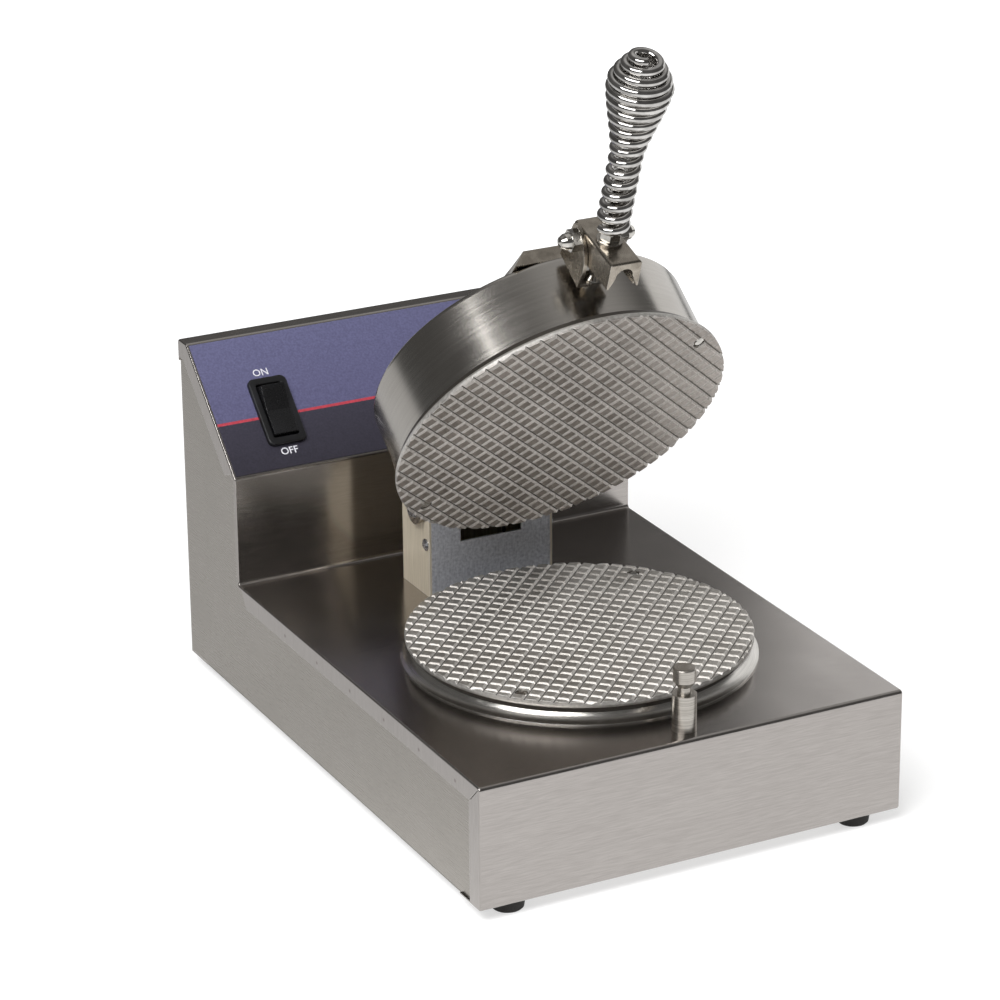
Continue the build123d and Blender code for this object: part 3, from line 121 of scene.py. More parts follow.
def object_place(tree):
    return add_node(tree, "ShaderNodeTexCoord").outputs["Object"]


def noise(tree, place, grain, detail=3.0, shift=0.0):
    """Noise whose grain measures (x, y, z) millimetres."""
    scale = [1 / (size * mm) for size in grain]
    spread = add_node(tree, "ShaderNodeMapping", {"Vector": place, "Scale": scale, "Location": [shift] * 3})
    inputs = {"Vector": spread.outputs[0], "Scale": 1.0, "Detail": detail}
    return add_node(tree, "ShaderNodeTexNoise", inputs).outputs["Fac"]


def ranged(tree, value, low, high):
    """Stretch a noise, which keeps to the middle of 0 to 1, over the range from low to high."""
    inputs = {"Value": value, "From Min": 0.3, "From Max": 0.7, "To Min": low, "To Max": high}
    return add_node(tree, "ShaderNodeMapRange", inputs).outputs[0]


def ramp(tree, value, *stops):
    """Colours in hex at their positions along a value."""
    colours = add_node(tree, "ShaderNodeValToRGB", {"Fac": value})
    band = colours.color_ramp
    while len(band.elements) < len(stops):
        band.elements.new(0.5)
    for element, (position, hex_colour) in zip(band.elements, stops):
        element.position = position
        element.color = linear(hex_colour)
    return colours.outputs[0]


def bump(tree, height, depth, normal=None):
    """Relief of the given depth in millimetres."""
    inputs = {"Height": height, "Distance": depth * mm, "Strength": 1.0}
    if normal is not None:
        inputs["Normal"] = normal
    return add_node(tree, "ShaderNodeBump", inputs).outputs[0]


def soft_edges(tree, radius):
    return add_node(tree, "ShaderNodeBevel", {"Radius": radius * mm}, samples=6).outputs[0]


def painted_edge_highlight(tree, radius):
    """One along an edge and nought on the flat, by how far the rounded normal leans from the face: the mask
    of a painted highlight along edges.
    """
    plain = add_node(tree, "ShaderNodeNewGeometry").outputs["Normal"]
    rounded = soft_edges(tree, radius)
    lean = add_node(tree, "ShaderNodeVectorMath", {0: plain, 1: rounded}, operation="DOT_PRODUCT")
    inputs = {"Value": lean.outputs["Value"], "From Min": 1.0, "From Max": 0.85, "To Min": 0.0, "To Max": 1.0}
    return add_node(tree, "ShaderNodeMapRange", inputs).outputs[0]


def tinted(tree, factor, colour, hex_colour):
    """Mix one colour towards another by a factor."""
    mix = add_node(tree, "ShaderNodeMix", {"Factor": factor}, data_type="RGBA")
    tree.links.new(colour, mix.inputs[6])
    mix.inputs[7].default_value = linear(hex_colour)
    return mix.outputs[2]


def math_node(tree, operation, first, second=0.0):
    added = add_node(tree, "ShaderNodeMath", operation=operation)
    for socket, value in zip(added.inputs, (first, second)):
        if isinstance(value, bpy.types.NodeSocket):
            tree.links.new(value, socket)
        else:
            socket.default_value = value
    return added.outputs[0]


def blend(tree, first, second, share):
    """Weighted sum of two patterns, where share is the weight of the first."""
    weighted = math_node(tree, "MULTIPLY", first, share)
    return math_node(tree, "ADD", weighted, math_node(tree, "MULTIPLY", second, 1.0 - share))


def length(tree, vector):
    return add_node(tree, "ShaderNodeVectorMath", {0: vector}, operation="LENGTH").outputs["Value"]


def faces_along(tree, axis):
    """One where the surface faces along an axis of the object, either way, and nought elsewhere."""
    normal = add_node(tree, "ShaderNodeTexCoord").outputs["Normal"]
    parts = add_node(tree, "ShaderNodeSeparateXYZ", {"Vector": normal})
    return math_node(tree, "GREATER_THAN", math_node(tree, "ABSOLUTE", parts.outputs[axis]), 0.7)


def about_axis(tree, place, centre, axis):
    """The height along an axis, the direction round it and the distance from it."""
    offset = {0: place, 1: centre}
    from_centre = add_node(tree, "ShaderNodeVectorMath", offset, operation="SUBTRACT").outputs[0]
    along = add_node(tree, "ShaderNodeVectorMath", {0: from_centre, 1: axis}, operation="DOT_PRODUCT")
    round_it = {0: axis, 1: from_centre}
    around = add_node(tree, "ShaderNodeVectorMath", round_it, operation="CROSS_PRODUCT").outputs[0]
    return along.outputs["Value"], around, length(tree, around)


def dress(material, *names):
    for name in names:
        nodes[name].data.materials.clear()
        nodes[name].data.materials.append(material)


# %% [markdown]
# ## Brushed stainless steel
# Stainless sheet is brushed in one direction. The scratches are a few tenths of a millimetre
# wide and centimetres long, and they spread a reflection across the grain. So the noise is
# stretched along the grain, and the shader is anisotropic with its tangent on the grain and
# turned a quarter. A broad, faint cloud stands for the wiping marks of a kitchen.

# %% Brushed stainless
def grain_tangent(tree, direction):
    """The grain's direction, which turns with the object when a joint moves it."""
    return add_node(
        tree,
        "ShaderNodeVectorTransform",
        {"Vector": direction},
        vector_type="VECTOR",
        convert_from="OBJECT",
        convert_to="WORLD",
    ).outputs[0]


def folded_noise(tree, place, folded, along, turned, across, length, detail, shift):
    """Scratches along one axis, and along another one where the sheet is folded."""
    both = []
    for axis in (along, turned):
        grain = [across] * 3
        grain[axis] = length
        both.append(noise(tree, place, grain, detail, shift))
    choice = add_node(tree, "ShaderNodeMix", {"Factor": folded}, data_type="FLOAT")
    tree.links.new(both[0], choice.inputs[2])
    tree.links.new(both[1], choice.inputs[3])
    return choice.outputs[0]


def brushed_steel(name, dark, light, along, roughness=0.27, across=0.28, length=10.0, metallic=1.0):
    """Brushed sheet: along is the grain's axis, 0 for x, 1 for y and 2 for z."""
    material, tree, shader = new_material(name, light, 1.0, roughness)
    place = object_place(tree)
    # Where the sheet is folded square to its grain, the grain turns the corner with it.
    turned = (along + 2) % 3
    folded = faces_along(tree, along)
    scratches = folded_noise(tree, place, folded, along, turned, across, length, 4.0, 0.0)
    bands = folded_noise(tree, place, folded, along, turned, 6 * across, 5 * length, 2.0, 3.1)
    cloud = noise(tree, place, [38.0, 38.0, 38.0], 2.0, 7.7)
    mixed = blend(tree, scratches, bands, 0.8)
    brushing = ranged(tree, mixed, roughness - 0.03, roughness + 0.03)
    rough = math_node(tree, "ADD", brushing, ranged(tree, cloud, -0.02, 0.02))
    # Cut edges get a painted highlight: a near-white, less metallic colour along them stands for the light
    # that the rounded edge catches.
    edge_highlight = painted_edge_highlight(tree, 0.3)
    colour = tinted(tree, edge_highlight, ramp(tree, mixed, (0.38, dark), (0.62, light)), "#EDEBE7")
    tree.links.new(colour, shader.inputs["Base Color"])
    kept = math_node(tree, "SUBTRACT", 1.0, math_node(tree, "MULTIPLY", edge_highlight, 0.6))
    tree.links.new(math_node(tree, "MULTIPLY", kept, metallic), shader.inputs["Metallic"])
    tree.links.new(rough, shader.inputs["Roughness"])
    tree.links.new(bump(tree, scratches, 0.0025, soft_edges(tree, 0.3)), shader.inputs["Normal"])
    # The small share of the turned axis gives a flange a direction of its own to follow.
    direction = [0.0, 0.0, 0.0]
    direction[along] = 1.0
    direction[turned] = 0.02
    shader.inputs["Anisotropic"].default_value = 0.75
    shader.inputs["Anisotropic Rotation"].default_value = 0.25
    tree.links.new(grain_tangent(tree, direction), shader.inputs["Tangent"])
    return material


# The wrap is one sheet, brushed across its width, so the grain lies level on the front face.
wrap_steel = brushed_steel("brushed_stainless_wrap", "#ACA7A3", "#B9B4B0", 0, 0.2)
dress(wrap_steel, "body_wrap", "back_panel")


def weld_spots(tree, height, first, pitch, count, radius=0.9):
    """One on each spot weld of a row that runs along the side's upper edge, and nought elsewhere."""
    spot = add_node(tree, "ShaderNodeSeparateXYZ", {"Vector": object_place(tree)})
    steps = math_node(tree, "DIVIDE", math_node(tree, "SUBTRACT", first * mm, spot.outputs["Y"]), pitch * mm)
    in_row = math_node(tree, "MINIMUM", math_node(tree, "MAXIMUM", steps, 0.0), count - 1.0)
    nearest = math_node(tree, "ROUND", in_row)
    along = math_node(tree, "MULTIPLY", math_node(tree, "SUBTRACT", steps, nearest), pitch * mm)
    above = math_node(tree, "SUBTRACT", spot.outputs["Z"], height * mm)
    gap = add_node(tree, "ShaderNodeCombineXYZ", {"X": along, "Y": above})
    distance = length(tree, gap.outputs[0])
    inputs = {"Value": distance, "From Min": (radius + 0.3) * mm, "From Max": (radius - 0.3) * mm}
    dot = add_node(tree, "ShaderNodeMapRange", inputs).outputs[0]
    on_the_side = math_node(tree, "MULTIPLY", dot, faces_along(tree, 0))
    return math_node(tree, "MULTIPLY", on_the_side, 0.6)


# The wrap's side lips are spot-welded to the side panels, and each weld leaves a small brown dot.
weld_height = 65.8
first_weld = 42.3
weld_pitch = 39.2
weld_count = 6
wrap_tree = wrap_steel.node_tree
wrap_colour = wrap_tree.nodes["Principled BSDF"].inputs["Base Color"]
welds = weld_spots(wrap_tree, weld_height, first_weld, weld_pitch, weld_count)
plain_wrap = wrap_colour.links[0].from_socket
wrap_tree.links.new(tinted(wrap_tree, welds, plain_wrap, "#74655E"), wrap_colour)
# The side panels are cut with their grain from front to back.
side_steel = brushed_steel("brushed_stainless_sides", "#A29D96", "#AFAAA3", 1)
dress(side_steel, "side_panel_left", "side_panel_right")
# The pedestal's cover is a duller sheet with an upright grain, which looks warm beside the deck.
cover_steel = brushed_steel("brushed_stainless_pedestal", "#C6BCA8", "#DAD0BC", 2, 0.36, 0.5, 20.0, 0.3)
dress(cover_steel, "pedestal_cover")
# The bottom plate and heat pan are plain mill sheet that nobody polishes.
mill_steel = brushed_steel("mill_finish_steel", "#8C8882", "#A5A19B", 0, 0.42, 0.8, 12.0)
dress(mill_steel, "bottom_plate", "heat_pan")


# %% [markdown]
# ## Folded and worked steel parts
# The pedestal's front plate is darker and scuffed by heat. The latch bracket, its clevis and
# the hinge arm are thick sheet, mottled and scratched, and each of these parts has a painted highlight along
# its edges.

# %% Worn steel
def worn_steel_with_edge_highlight(name, dark, light, roughness, cloud_size=9.0):
    material, tree, shader = new_material(name, light, 1.0, roughness)
    place = object_place(tree)
    cloud = noise(tree, place, [cloud_size] * 3, 5.0)
    scratches = noise(tree, place, [0.4, 0.4, 9.0], 3.0, 2.2)
    mixed = blend(tree, cloud, scratches, 0.65)
    colour = ramp(tree, mixed, (0.36, dark), (0.64, light))
    # A painted highlight along the edges: pale where the rounded normal leans away from the face.
    colour = tinted(tree, painted_edge_highlight(tree, 0.35), colour, "#D8D2C8")
    tree.links.new(colour, shader.inputs["Base Color"])
    tree.links.new(ranged(tree, mixed, roughness + 0.08, roughness - 0.06), shader.inputs["Roughness"])
    tree.links.new(bump(tree, scratches, 0.008, soft_edges(tree, 0.35)), shader.inputs["Normal"])
    return material


plate_steel = worn_steel_with_edge_highlight("heat_dulled_steel", "#A3A5AD", "#D0D2D8", 0.45, 1.6)
plate_steel.node_tree.nodes["Principled BSDF"].inputs["Metallic"].default_value = 0.4
dress(plate_steel, "pedestal_front")
latch_steel = worn_steel_with_edge_highlight("worn_dark_stainless_edge_highlight", "#958D82", "#B7AFA3", 0.26, 5.0)
dress(latch_steel, "latch_bracket", "clevis", "hinge_arm")

# %% [markdown]
# ## The lid's own frame
# Some finishes follow the lid: the drum is spun, so its grain runs round its axis. The lid
# stands open, so we work out where its axis lies at rest from the hinge and the opening angle.

# %% Lid frame
open_angle = math.radians(53.9)
handle_rest_angle = math.radians(17.0)
hinge = Vector((0, 49.6, 119.3)) * mm
hinge_behind_centre = 109.0
hinge_above_face = 32.5
pivot_before_centre = 110.0
pivot_above_face = 35.6
lid_turn = Matrix.Rotation(-open_angle, 3, "X")
lid_axis = lid_turn @ Vector((0, 0, 1))
lid_centre = hinge + lid_turn @ (Vector((0, -hinge_behind_centre, -hinge_above_face)) * mm)
pivot = lid_centre + lid_turn @ (Vector((0, -pivot_before_centre, pivot_above_face)) * mm)
handle_turn = Matrix.Rotation(math.pi / 2 - open_angle - handle_rest_angle, 3, "X")
print("lid axis", [round(v, 3) for v in lid_axis], "handle pivot", [round(v, 4) for v in pivot])


# %% [markdown]
# ## Spun and turned metal
# A part that turns against a tool keeps fine rings about its axis. The pattern reads two
# numbers, the height along the axis and the distance from it, and its tangent is the cross
# product of the axis and the radius, so reflections stretch from one end to the other.

# %% Spun and turned metal
def turned_metal(name, dark, light, roughness, centre, axis, ring=0.5, anisotropic=0.7, relief=0.004):
    material, tree, shader = new_material(name, light, 1.0, roughness)
    place = object_place(tree)
    height, around, distance = about_axis(tree, place, centre, axis)
    rings = add_node(tree, "ShaderNodeCombineXYZ", {"X": height, "Y": distance})
    lines = noise(tree, rings.outputs[0], [ring] * 3, 4.0)
    cloud = noise(tree, place, [22.0] * 3, 3.0, 4.0)
    mixed = blend(tree, lines, cloud, 0.6)
    tree.links.new(ramp(tree, mixed, (0.38, dark), (0.62, light)), shader.inputs["Base Color"])
    tree.links.new(ranged(tree, mixed, roughness - 0.04, roughness + 0.05), shader.inputs["Roughness"])
    tree.links.new(bump(tree, lines, relief, soft_edges(tree, 0.3)), shader.inputs["Normal"])
    tangent = add_node(tree, "ShaderNodeVectorMath", {0: around}, operation="NORMALIZE")
    shader.inputs["Anisotropic"].default_value = anisotropic
    shader.inputs["Anisotropic Rotation"].default_value = 0.25
    tree.links.new(grain_tangent(tree, tangent.outputs[0]), shader.inputs["Tangent"])
    return material


def box_middle(name):
    low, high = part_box(name)
    return (Vector(low) + Vector(high)) / 2


upwards = Vector((0, 0, 1))
handle_axis = handle_turn @ upwards
# The drum is spun from bright sheet, so it mirrors the room in long soft bands.
drum_steel = turned_metal(
    "spun_stainless_drum", "#B5B1AB", "#BFBBB5", 0.2, lid_centre, lid_axis, 0.7, 0.5, 0.002
)
dress(drum_steel, "drum")
# The collar is polished, and shows a clean bright rim with a dark cove.
collar_middle = box_middle("collar_ring")
collar_steel = turned_metal(
    "polished_collar", "#C9C6C1", "#E4E1DC", 0.24, collar_middle, upwards, 0.4, 0.3, 0.002
)
dress(collar_steel, "collar_ring")
# The post and the stand-off are turned on a lathe.
post_middle = box_middle("latch_post")
post_steel = turned_metal(
    "turned_stainless_post", "#A8A39B", "#D8D3CC", 0.3, post_middle, upwards, 0.35, 0.6
)
dress(post_steel, "latch_post", "post_nut")
boss_middle = box_middle("clevis_boss")
boss_steel = turned_metal(
    "turned_stainless_boss", "#8F8A83", "#B9B4AC", 0.2, boss_middle, handle_axis, 0.35
)
dress(boss_steel, "clevis_boss", "handle_stud", "lock_washer")

# %% [markdown]
# ## Cast aluminium grids
# The two grids are cast and then faced. Casting leaves a fine mottled skin, and the raised tiles
# have rounded edges that catch the light, with a painted highlight along them. The bottoms of the grooves
# carry painted shade. The tiles' height along the grid's own axis tells the groove from the face.

# %% Cast aluminium
grid_radius = 88.9


def cast_aluminium(name, centre, axis, face_dark, face_light, groove_depth=1.3):
    material, tree, shader = new_material(name, "#C4C1BC", 0.82, 0.42)
    place = object_place(tree)
    height, _, distance = about_axis(tree, place, centre, axis)
    inputs = {"Value": height, "From Min": -groove_depth * mm, "From Max": 0.0}
    rise = add_node(tree, "ShaderNodeMapRange", inputs).outputs[0]
    skin = noise(tree, place, [1.6, 1.6, 1.6], 6.0)
    cloud = noise(tree, place, [26.0, 26.0, 26.0], 3.0, 5.2)
    mixed = blend(tree, skin, cloud, 0.5)
    face_tone = ramp(tree, mixed, (0.36, face_dark), (0.64, face_light))
    # The tile edges get a painted highlight, near white where the rounded normal leans away from the face.
    face_tone = tinted(tree, painted_edge_highlight(tree, 0.45), face_tone, "#F4F3F0")
    wall = ramp(tree, mixed, (0.36, "#B4B1AC"), (0.64, "#E0DDD8"))
    # The bottom of each groove gets painted shade, a dark brown that stands for the shade deep in the groove.
    # The rim below them is as bright as the walls.
    inside = math_node(tree, "LESS_THAN", distance, (grid_radius - 1.0) * mm)
    inputs = {"Value": rise, "From Min": 0.3, "From Max": 0.12}
    depth = add_node(tree, "ShaderNodeMapRange", inputs).outputs[0]
    painted_valley_shade = math_node(tree, "MULTIPLY", inside, depth)
    groove_with_painted_shade = tinted(tree, painted_valley_shade, wall, "#55504A")
    colour = add_node(tree, "ShaderNodeMix", data_type="RGBA")
    tree.links.new(rise, colour.inputs["Factor"])
    tree.links.new(groove_with_painted_shade, colour.inputs[6])
    tree.links.new(face_tone, colour.inputs[7])
    tree.links.new(colour.outputs[2], shader.inputs["Base Color"])
    tree.links.new(ranged(tree, mixed, 0.36, 0.5), shader.inputs["Roughness"])
    tree.links.new(bump(tree, skin, 0.03, soft_edges(tree, 0.45)), shader.inputs["Normal"])
    return material


low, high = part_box("lower_grid")
lower_face = Vector(((low[0] + high[0]) / 2, (low[1] + high[1]) / 2, high[2]))
lower_cast = cast_aluminium("cast_aluminium_lower", lower_face, upwards, "#9E9992", "#CBC7C1")
dress(lower_cast, "lower_grid")
upper_cast = cast_aluminium("cast_aluminium_upper", lid_centre, -lid_axis, "#9E968F", "#C4BCB5")
dress(upper_cast, "upper_grid")

# %% [markdown]
# ## Chrome, zinc and heater sheath
# Chrome is almost a mirror, with a faint haze where hands have held it. Zinc plating is softer
# and slightly blue. The sheathed heaters have a dark, heat-stained skin.

# %% Plated metals
def plated(name, dark, light, low_rough, high_rough, size=4.0, relief=0.002):
    material, tree, shader = new_material(name, light, 1.0, low_rough)
    place = object_place(tree)
    haze = noise(tree, place, [size] * 3, 4.0)
    tree.links.new(ramp(tree, haze, (0.35, dark), (0.65, light)), shader.inputs["Base Color"])
    tree.links.new(ranged(tree, haze, low_rough, high_rough), shader.inputs["Roughness"])
    tree.links.new(bump(tree, haze, relief, soft_edges(tree, 0.2)), shader.inputs["Normal"])
    return material


chrome = plated("chromed_wire", "#B5B3B0", "#DEDCD9", 0.05, 0.12, 7.0)
bright_nut = plated("bright_nickel_nuts", "#B9B6B0", "#E3E0DA", 0.08, 0.18)
dress(bright_nut, "acorn_nuts", "clevis_bolt", "jam_nut")
zinc = plated("zinc_plated_screws", "#8F9094", "#C3C4C8", 0.22, 0.36, 1.5)
# The grid screws sit deep in their recesses. The bright nickel finish, in place of zinc, paints light into
# them against the shade there.
dress(bright_nut, "lower_grid_screws", "upper_grid_screws")
dress(zinc, "back_screws", "bottom_screws", "foot_screws", "pedestal_screws")
dress(zinc, "arm_screws", "pivot_bolt", "hinge_pin", "hinge_clip", "hinge_washers")
dress(zinc, "drum_tabs", "lower_element_clamp", "upper_element_clamp", "thermostat")
spring_steel = plated("blued_spring_steel", "#4A4B52", "#7C7D86", 0.25, 0.38, 2.0)
dress(spring_steel, "hinge_springs")
sheath = plated("heater_sheath", "#3F3832", "#6A5F55", 0.45, 0.62, 5.0, 0.01)
dress(sheath, "lower_element", "upper_element")

# %% [markdown]
# ## Plastics, rubber and fibre
# Moulded plastic shows a fine spark-eroded texture, which the bump gives in tenths of a
# millimetre. The rocker is smoother than its housing, so it carries a sharper highlight.

# %% Plastics, rubber and fibre
def moulded(name, dark, light, roughness, grain, relief, edge=0.25):
    material, tree, shader = new_material(name, light, 0.0, roughness)
    place = object_place(tree)
    texture = noise(tree, place, [grain] * 3, 3.0)
    cloud = noise(tree, place, [30 * grain] * 3, 2.0, 1.4)
    tree.links.new(ramp(tree, cloud, (0.35, dark), (0.65, light)), shader.inputs["Base Color"])
    tree.links.new(ranged(tree, texture, roughness - 0.06, roughness + 0.08), shader.inputs["Roughness"])
    tree.links.new(bump(tree, texture, relief, soft_edges(tree, edge)), shader.inputs["Normal"])
    return material


housing = moulded("black_switch_housing", "#0E0E0F", "#17171A", 0.42, 0.5, 0.02, 0.4)
dress(housing, "switch_bezel", "pilot_body", "cord_gland")
paddle = moulded("glossy_black_rocker", "#0F0F10", "#19191B", 0.3, 0.8, 0.002, 0.6)
dress(paddle, "switch_rocker")
rubber = moulded("black_rubber_feet", "#151413", "#242220", 0.72, 0.7, 0.05, 0.5)
dress(rubber, "foot_front_left", "foot_front_right", "foot_rear_left", "foot_rear_right")
ceramic = moulded("white_terminal_block", "#D9D4C8", "#EAE6DC", 0.5, 0.6, 0.02)
dress(ceramic, "terminal_block")
fibre = moulded("pressed_fibre", "#B7B09F", "#D8D2C2", 0.9, 1.2, 0.25, 0.5)
dress(fibre, "pan_insulation", "lid_insulation")
amber, tree, shader = new_material("amber_lens", "#D8742A", 0.0, 0.12)
rays = noise(tree, object_place(tree), [1.2, 1.2, 1.2], 2.0)
tree.links.new(ramp(tree, rays, (0.35, "#B4501A"), (0.65, "#E88A3C")), shader.inputs["Base Color"])
shader.inputs["Transmission Weight"].default_value = 0.35
shader.inputs["IOR"].default_value = 1.49
dress(amber, "pilot_lens")

# %% [markdown]
# ## The printed control film
# The film on the slope is printed in two tones with a thin red line between them. The print
# follows the distance up the slope, so we find the slope's lower edge and direction from the
# film's own box, and colour by that distance. The film is a matt polyester with a fine
# texture and a soft sheen.

# %% Printed film
film_low, film_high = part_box("panel_overlay")
slope = Vector((0, film_high[1] - film_low[1], film_high[2] - film_low[2]))
film_length = slope.length
slope_direction = slope.normalized()
slope_out = Vector((1, 0, 0)).cross(slope_direction)
film_foot = Vector((0, film_low[1], film_low[2]))
line_start = 30.3
line_end = 31.7
film, tree, shader = new_material("printed_polyester_film", "#55557A", 0.0, 0.42)
place = object_place(tree)
up_slope = add_node(tree, "ShaderNodeVectorMath", operation="SUBTRACT")
tree.links.new(place, up_slope.inputs[0])
up_slope.inputs[1].default_value = film_foot
distance = add_node(tree, "ShaderNodeVectorMath", operation="DOT_PRODUCT")
tree.links.new(up_slope.outputs[0], distance.inputs[0])
distance.inputs[1].default_value = slope_direction
share = math_node(tree, "DIVIDE", distance.outputs["Value"], film_length)
edge = 0.1 * mm / film_length
first = line_start * mm / film_length
second = line_end * mm / film_length
print_colours = ramp(
    tree,
    share,
    (0.0, "#28262F"),
    (first - edge, "#312F3A"),
    (first, "#A03844"),
    (second, "#A03844"),
    (second + edge, "#504F6C"),
    (1.0, "#575775"),
)
weave = noise(tree, place, [0.35, 0.35, 0.35], 3.0)
speckle = noise(tree, place, [1.1, 1.1, 1.1], 4.0, 2.0)
shade = ranged(tree, speckle, 0.82, 1.18)
printed = add_node(tree, "ShaderNodeVectorMath", {0: print_colours}, operation="SCALE")
tree.links.new(shade, printed.inputs["Scale"])
tree.links.new(printed.outputs[0], shader.inputs["Base Color"])
tree.links.new(ranged(tree, weave, 0.38, 0.5), shader.inputs["Roughness"])
tree.links.new(bump(tree, weave, 0.006), shader.inputs["Normal"])
shader.inputs["Specular IOR Level"].default_value = 0.4
dress(film, "panel_overlay")
print("film length up the slope", round(film_length / mm, 1), "mm")


# %% [markdown]
# ## The switch's bezel
# The bezel is a moulded frame with generous round corners and a rolled upper edge. A stack of
# rounded rectangles describes it well: each ring has the same number of points, so the faces
# between two rings are plain quads, and the last ring joins the first into one closed skin.
# Its width, height and place are read from the CAD bezel, measured along the slope.

# %% Switch bezel
bezel_corner = 3.4
bezel_rim_height = 2.6
bezel_roll = 0.9
bezel_rim_width = 2.4
well_half = (7.2, 15.9)
sharpest_roll = 40.0


def rounded_ring(half_width, half_height, radius, level, steps=8):
    """Points of a rounded rectangle that lies parallel to the film."""
    points = []
    for quarter in range(4):
        centre_x = (half_width - radius) * (1, -1, -1, 1)[quarter]
        centre_up = (half_height - radius) * (1, 1, -1, -1)[quarter]
        for step in range(steps + 1):
            angle = math.pi / 2 * (quarter + step / steps)
            points.append((centre_x + radius * math.cos(angle), centre_up + radius * math.sin(angle), level))
    return points


def spread_along(direction):
    values = [(vertex.co - film_foot).dot(direction) / mm for vertex in nodes["switch_bezel"].data.vertices]
    return min(values), max(values)


bezel_x = spread_along(Vector((1, 0, 0)))
bezel_up = spread_along(slope_direction)
bezel_out = spread_along(slope_out)
half_width = (bezel_x[1] - bezel_x[0]) / 2
half_height = (bezel_up[1] - bezel_up[0]) / 2
depth = bezel_out[1] - bezel_out[0]
body_width = half_width - bezel_rim_width - 0.1
body_height = half_height - bezel_rim_width - 0.1
rings = [
    rounded_ring(*well_half, 0.8, bezel_rim_height - depth),
    rounded_ring(*well_half, 0.8, bezel_rim_height - 0.4),
    rounded_ring(well_half[0] + 0.4, well_half[1] + 0.4, 1.2, bezel_rim_height),
]
for step in range(5):
    angle = math.pi / 2 * step / 4
    inset = bezel_roll * (1 - math.sin(angle))
    level = bezel_rim_height - bezel_roll * (1 - math.cos(angle))
    rings.append(rounded_ring(half_width - inset, half_height - inset, bezel_corner - inset, level))
rings.append(rounded_ring(half_width, half_height, bezel_corner, 0.0))
rings.append(rounded_ring(body_width, body_height, 1.0, 0.0))
rings.append(rounded_ring(body_width, body_height, 1.0, bezel_rim_height - depth))
per_ring = len(rings[0])
faces = []
for ring in range(len(rings)):
    following = (ring + 1) % len(rings)
    for index in range(per_ring):
        beside = (index + 1) % per_ring
        start = ring * per_ring
        end = following * per_ring
        faces.append((start + index, start + beside, end + beside, end + index))
bezel_middle = film_foot + slope_direction * (sum(bezel_up) / 2 * mm)
bezel_middle += slope_out * ((bezel_out[1] - bezel_rim_height) * mm) + Vector((sum(bezel_x) / 2 * mm, 0, 0))
corners = [
    bezel_middle + Vector((x * mm, 0, 0)) + slope_direction * (y * mm) + slope_out * (z * mm)
    for ring in rings
    for x, y, z in ring
]
bezel_mesh = bpy.data.meshes.new("switch_bezel_moulded")
bezel_mesh.from_pydata(corners, [], faces)
bezel_mesh.shade_smooth()
bezel_mesh.set_sharp_from_angle(angle=math.radians(sharpest_roll))
bezel_mesh.materials.append(housing)
bezel = bpy.data.objects.new("switch_bezel_moulded", bezel_mesh)
bpy.context.collection.objects.link(bezel)
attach(bezel, "base")
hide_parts("switch_bezel")
print("bezel", round(2 * half_width, 2), "x", round(2 * half_height, 2), "mm, faces", len(faces))


# %% [markdown]
# ## Printed words
# The switch is marked ON above and OFF below in white ink. Each word is a flat text object
# that lies on the film, just proud enough for its ink to show.

# %% ON and OFF
def ink_material():
    material, tree, shader = new_material("white_screen_ink", "#E4E4E8", 0.0, 0.5)
    speckle = noise(tree, object_place(tree), [0.3, 0.3, 0.3], 3.0)
    tree.links.new(ramp(tree, speckle, (0.3, "#BDBDC4"), (0.7, "#D8D8DD")), shader.inputs["Base Color"])
    return material


def print_word(word, x, up_the_slope, height, ink):
    text = bpy.data.curves.new(word, "FONT")
    text.body = word
    text.size = height * mm
    text.align_x = "CENTER"
    text.align_y = "CENTER"
    text.offset = 0.05 * mm
    text.resolution_u = 4
    text.materials.append(ink)
    piece = bpy.data.objects.new("label_" + word.lower(), text)
    bpy.context.collection.objects.link(piece)
    spot = film_foot + slope_direction * up_the_slope * mm + slope_out * (film_proud + 0.06 * mm)
    spot.x = x * mm
    turn = Matrix((Vector((1, 0, 0)), slope_direction, slope_out)).transposed().to_4x4()
    piece.matrix_world = Matrix.Translation(spot) @ turn
    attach(piece, "base")
    return piece


film_mesh = nodes["panel_overlay"].data
film_proud = max((vertex.co - film_foot).dot(slope_out) for vertex in film_mesh.vertices)
ink = ink_material()
letter_height = 5.7
on_place = (-83.3, 57.2)
off_place = (-83.0, 9.4)
print_word("ON", *on_place, letter_height, ink)
print_word("OFF", *off_place, letter_height, ink)

# %% [markdown]
# ## The coil handle
# The grip is one length of round wire: close turns up a straight neck, then a bulb that closes
# over the top. The CAD solid has flat sides along its wire, so a smooth curve with a round
# section takes its place. Its centre line follows the same winding: the pitch shrinks evenly
# along the bulb, and the radius swells in a soft S and then closes in faster and faster.

# %% Coil of chromed wire
wire_radius = 2.25
neck_radius = 6.3
bulb_radius = 14.3
neck_turns = 6.5
bulb_turns = 10.7
neck_pitch = 6.5
end_pitch = 3.7
bulb_rise = 38.9
end_radius = 5.2
start_angle = math.pi
stud_before_pivot = 11.8
bracket_top = 5.6
lock_washer_height = 1.6
jam_nut_height = 5.0
first_wire = bracket_top + lock_washer_height + jam_nut_height + wire_radius
points_per_turn = 36


def coil_height(turn):
    above = max(0.0, turn - neck_turns)
    straight = min(turn, neck_turns) * neck_pitch
    return straight + above * neck_pitch - (neck_pitch - end_pitch) / bulb_turns * above**2 / 2


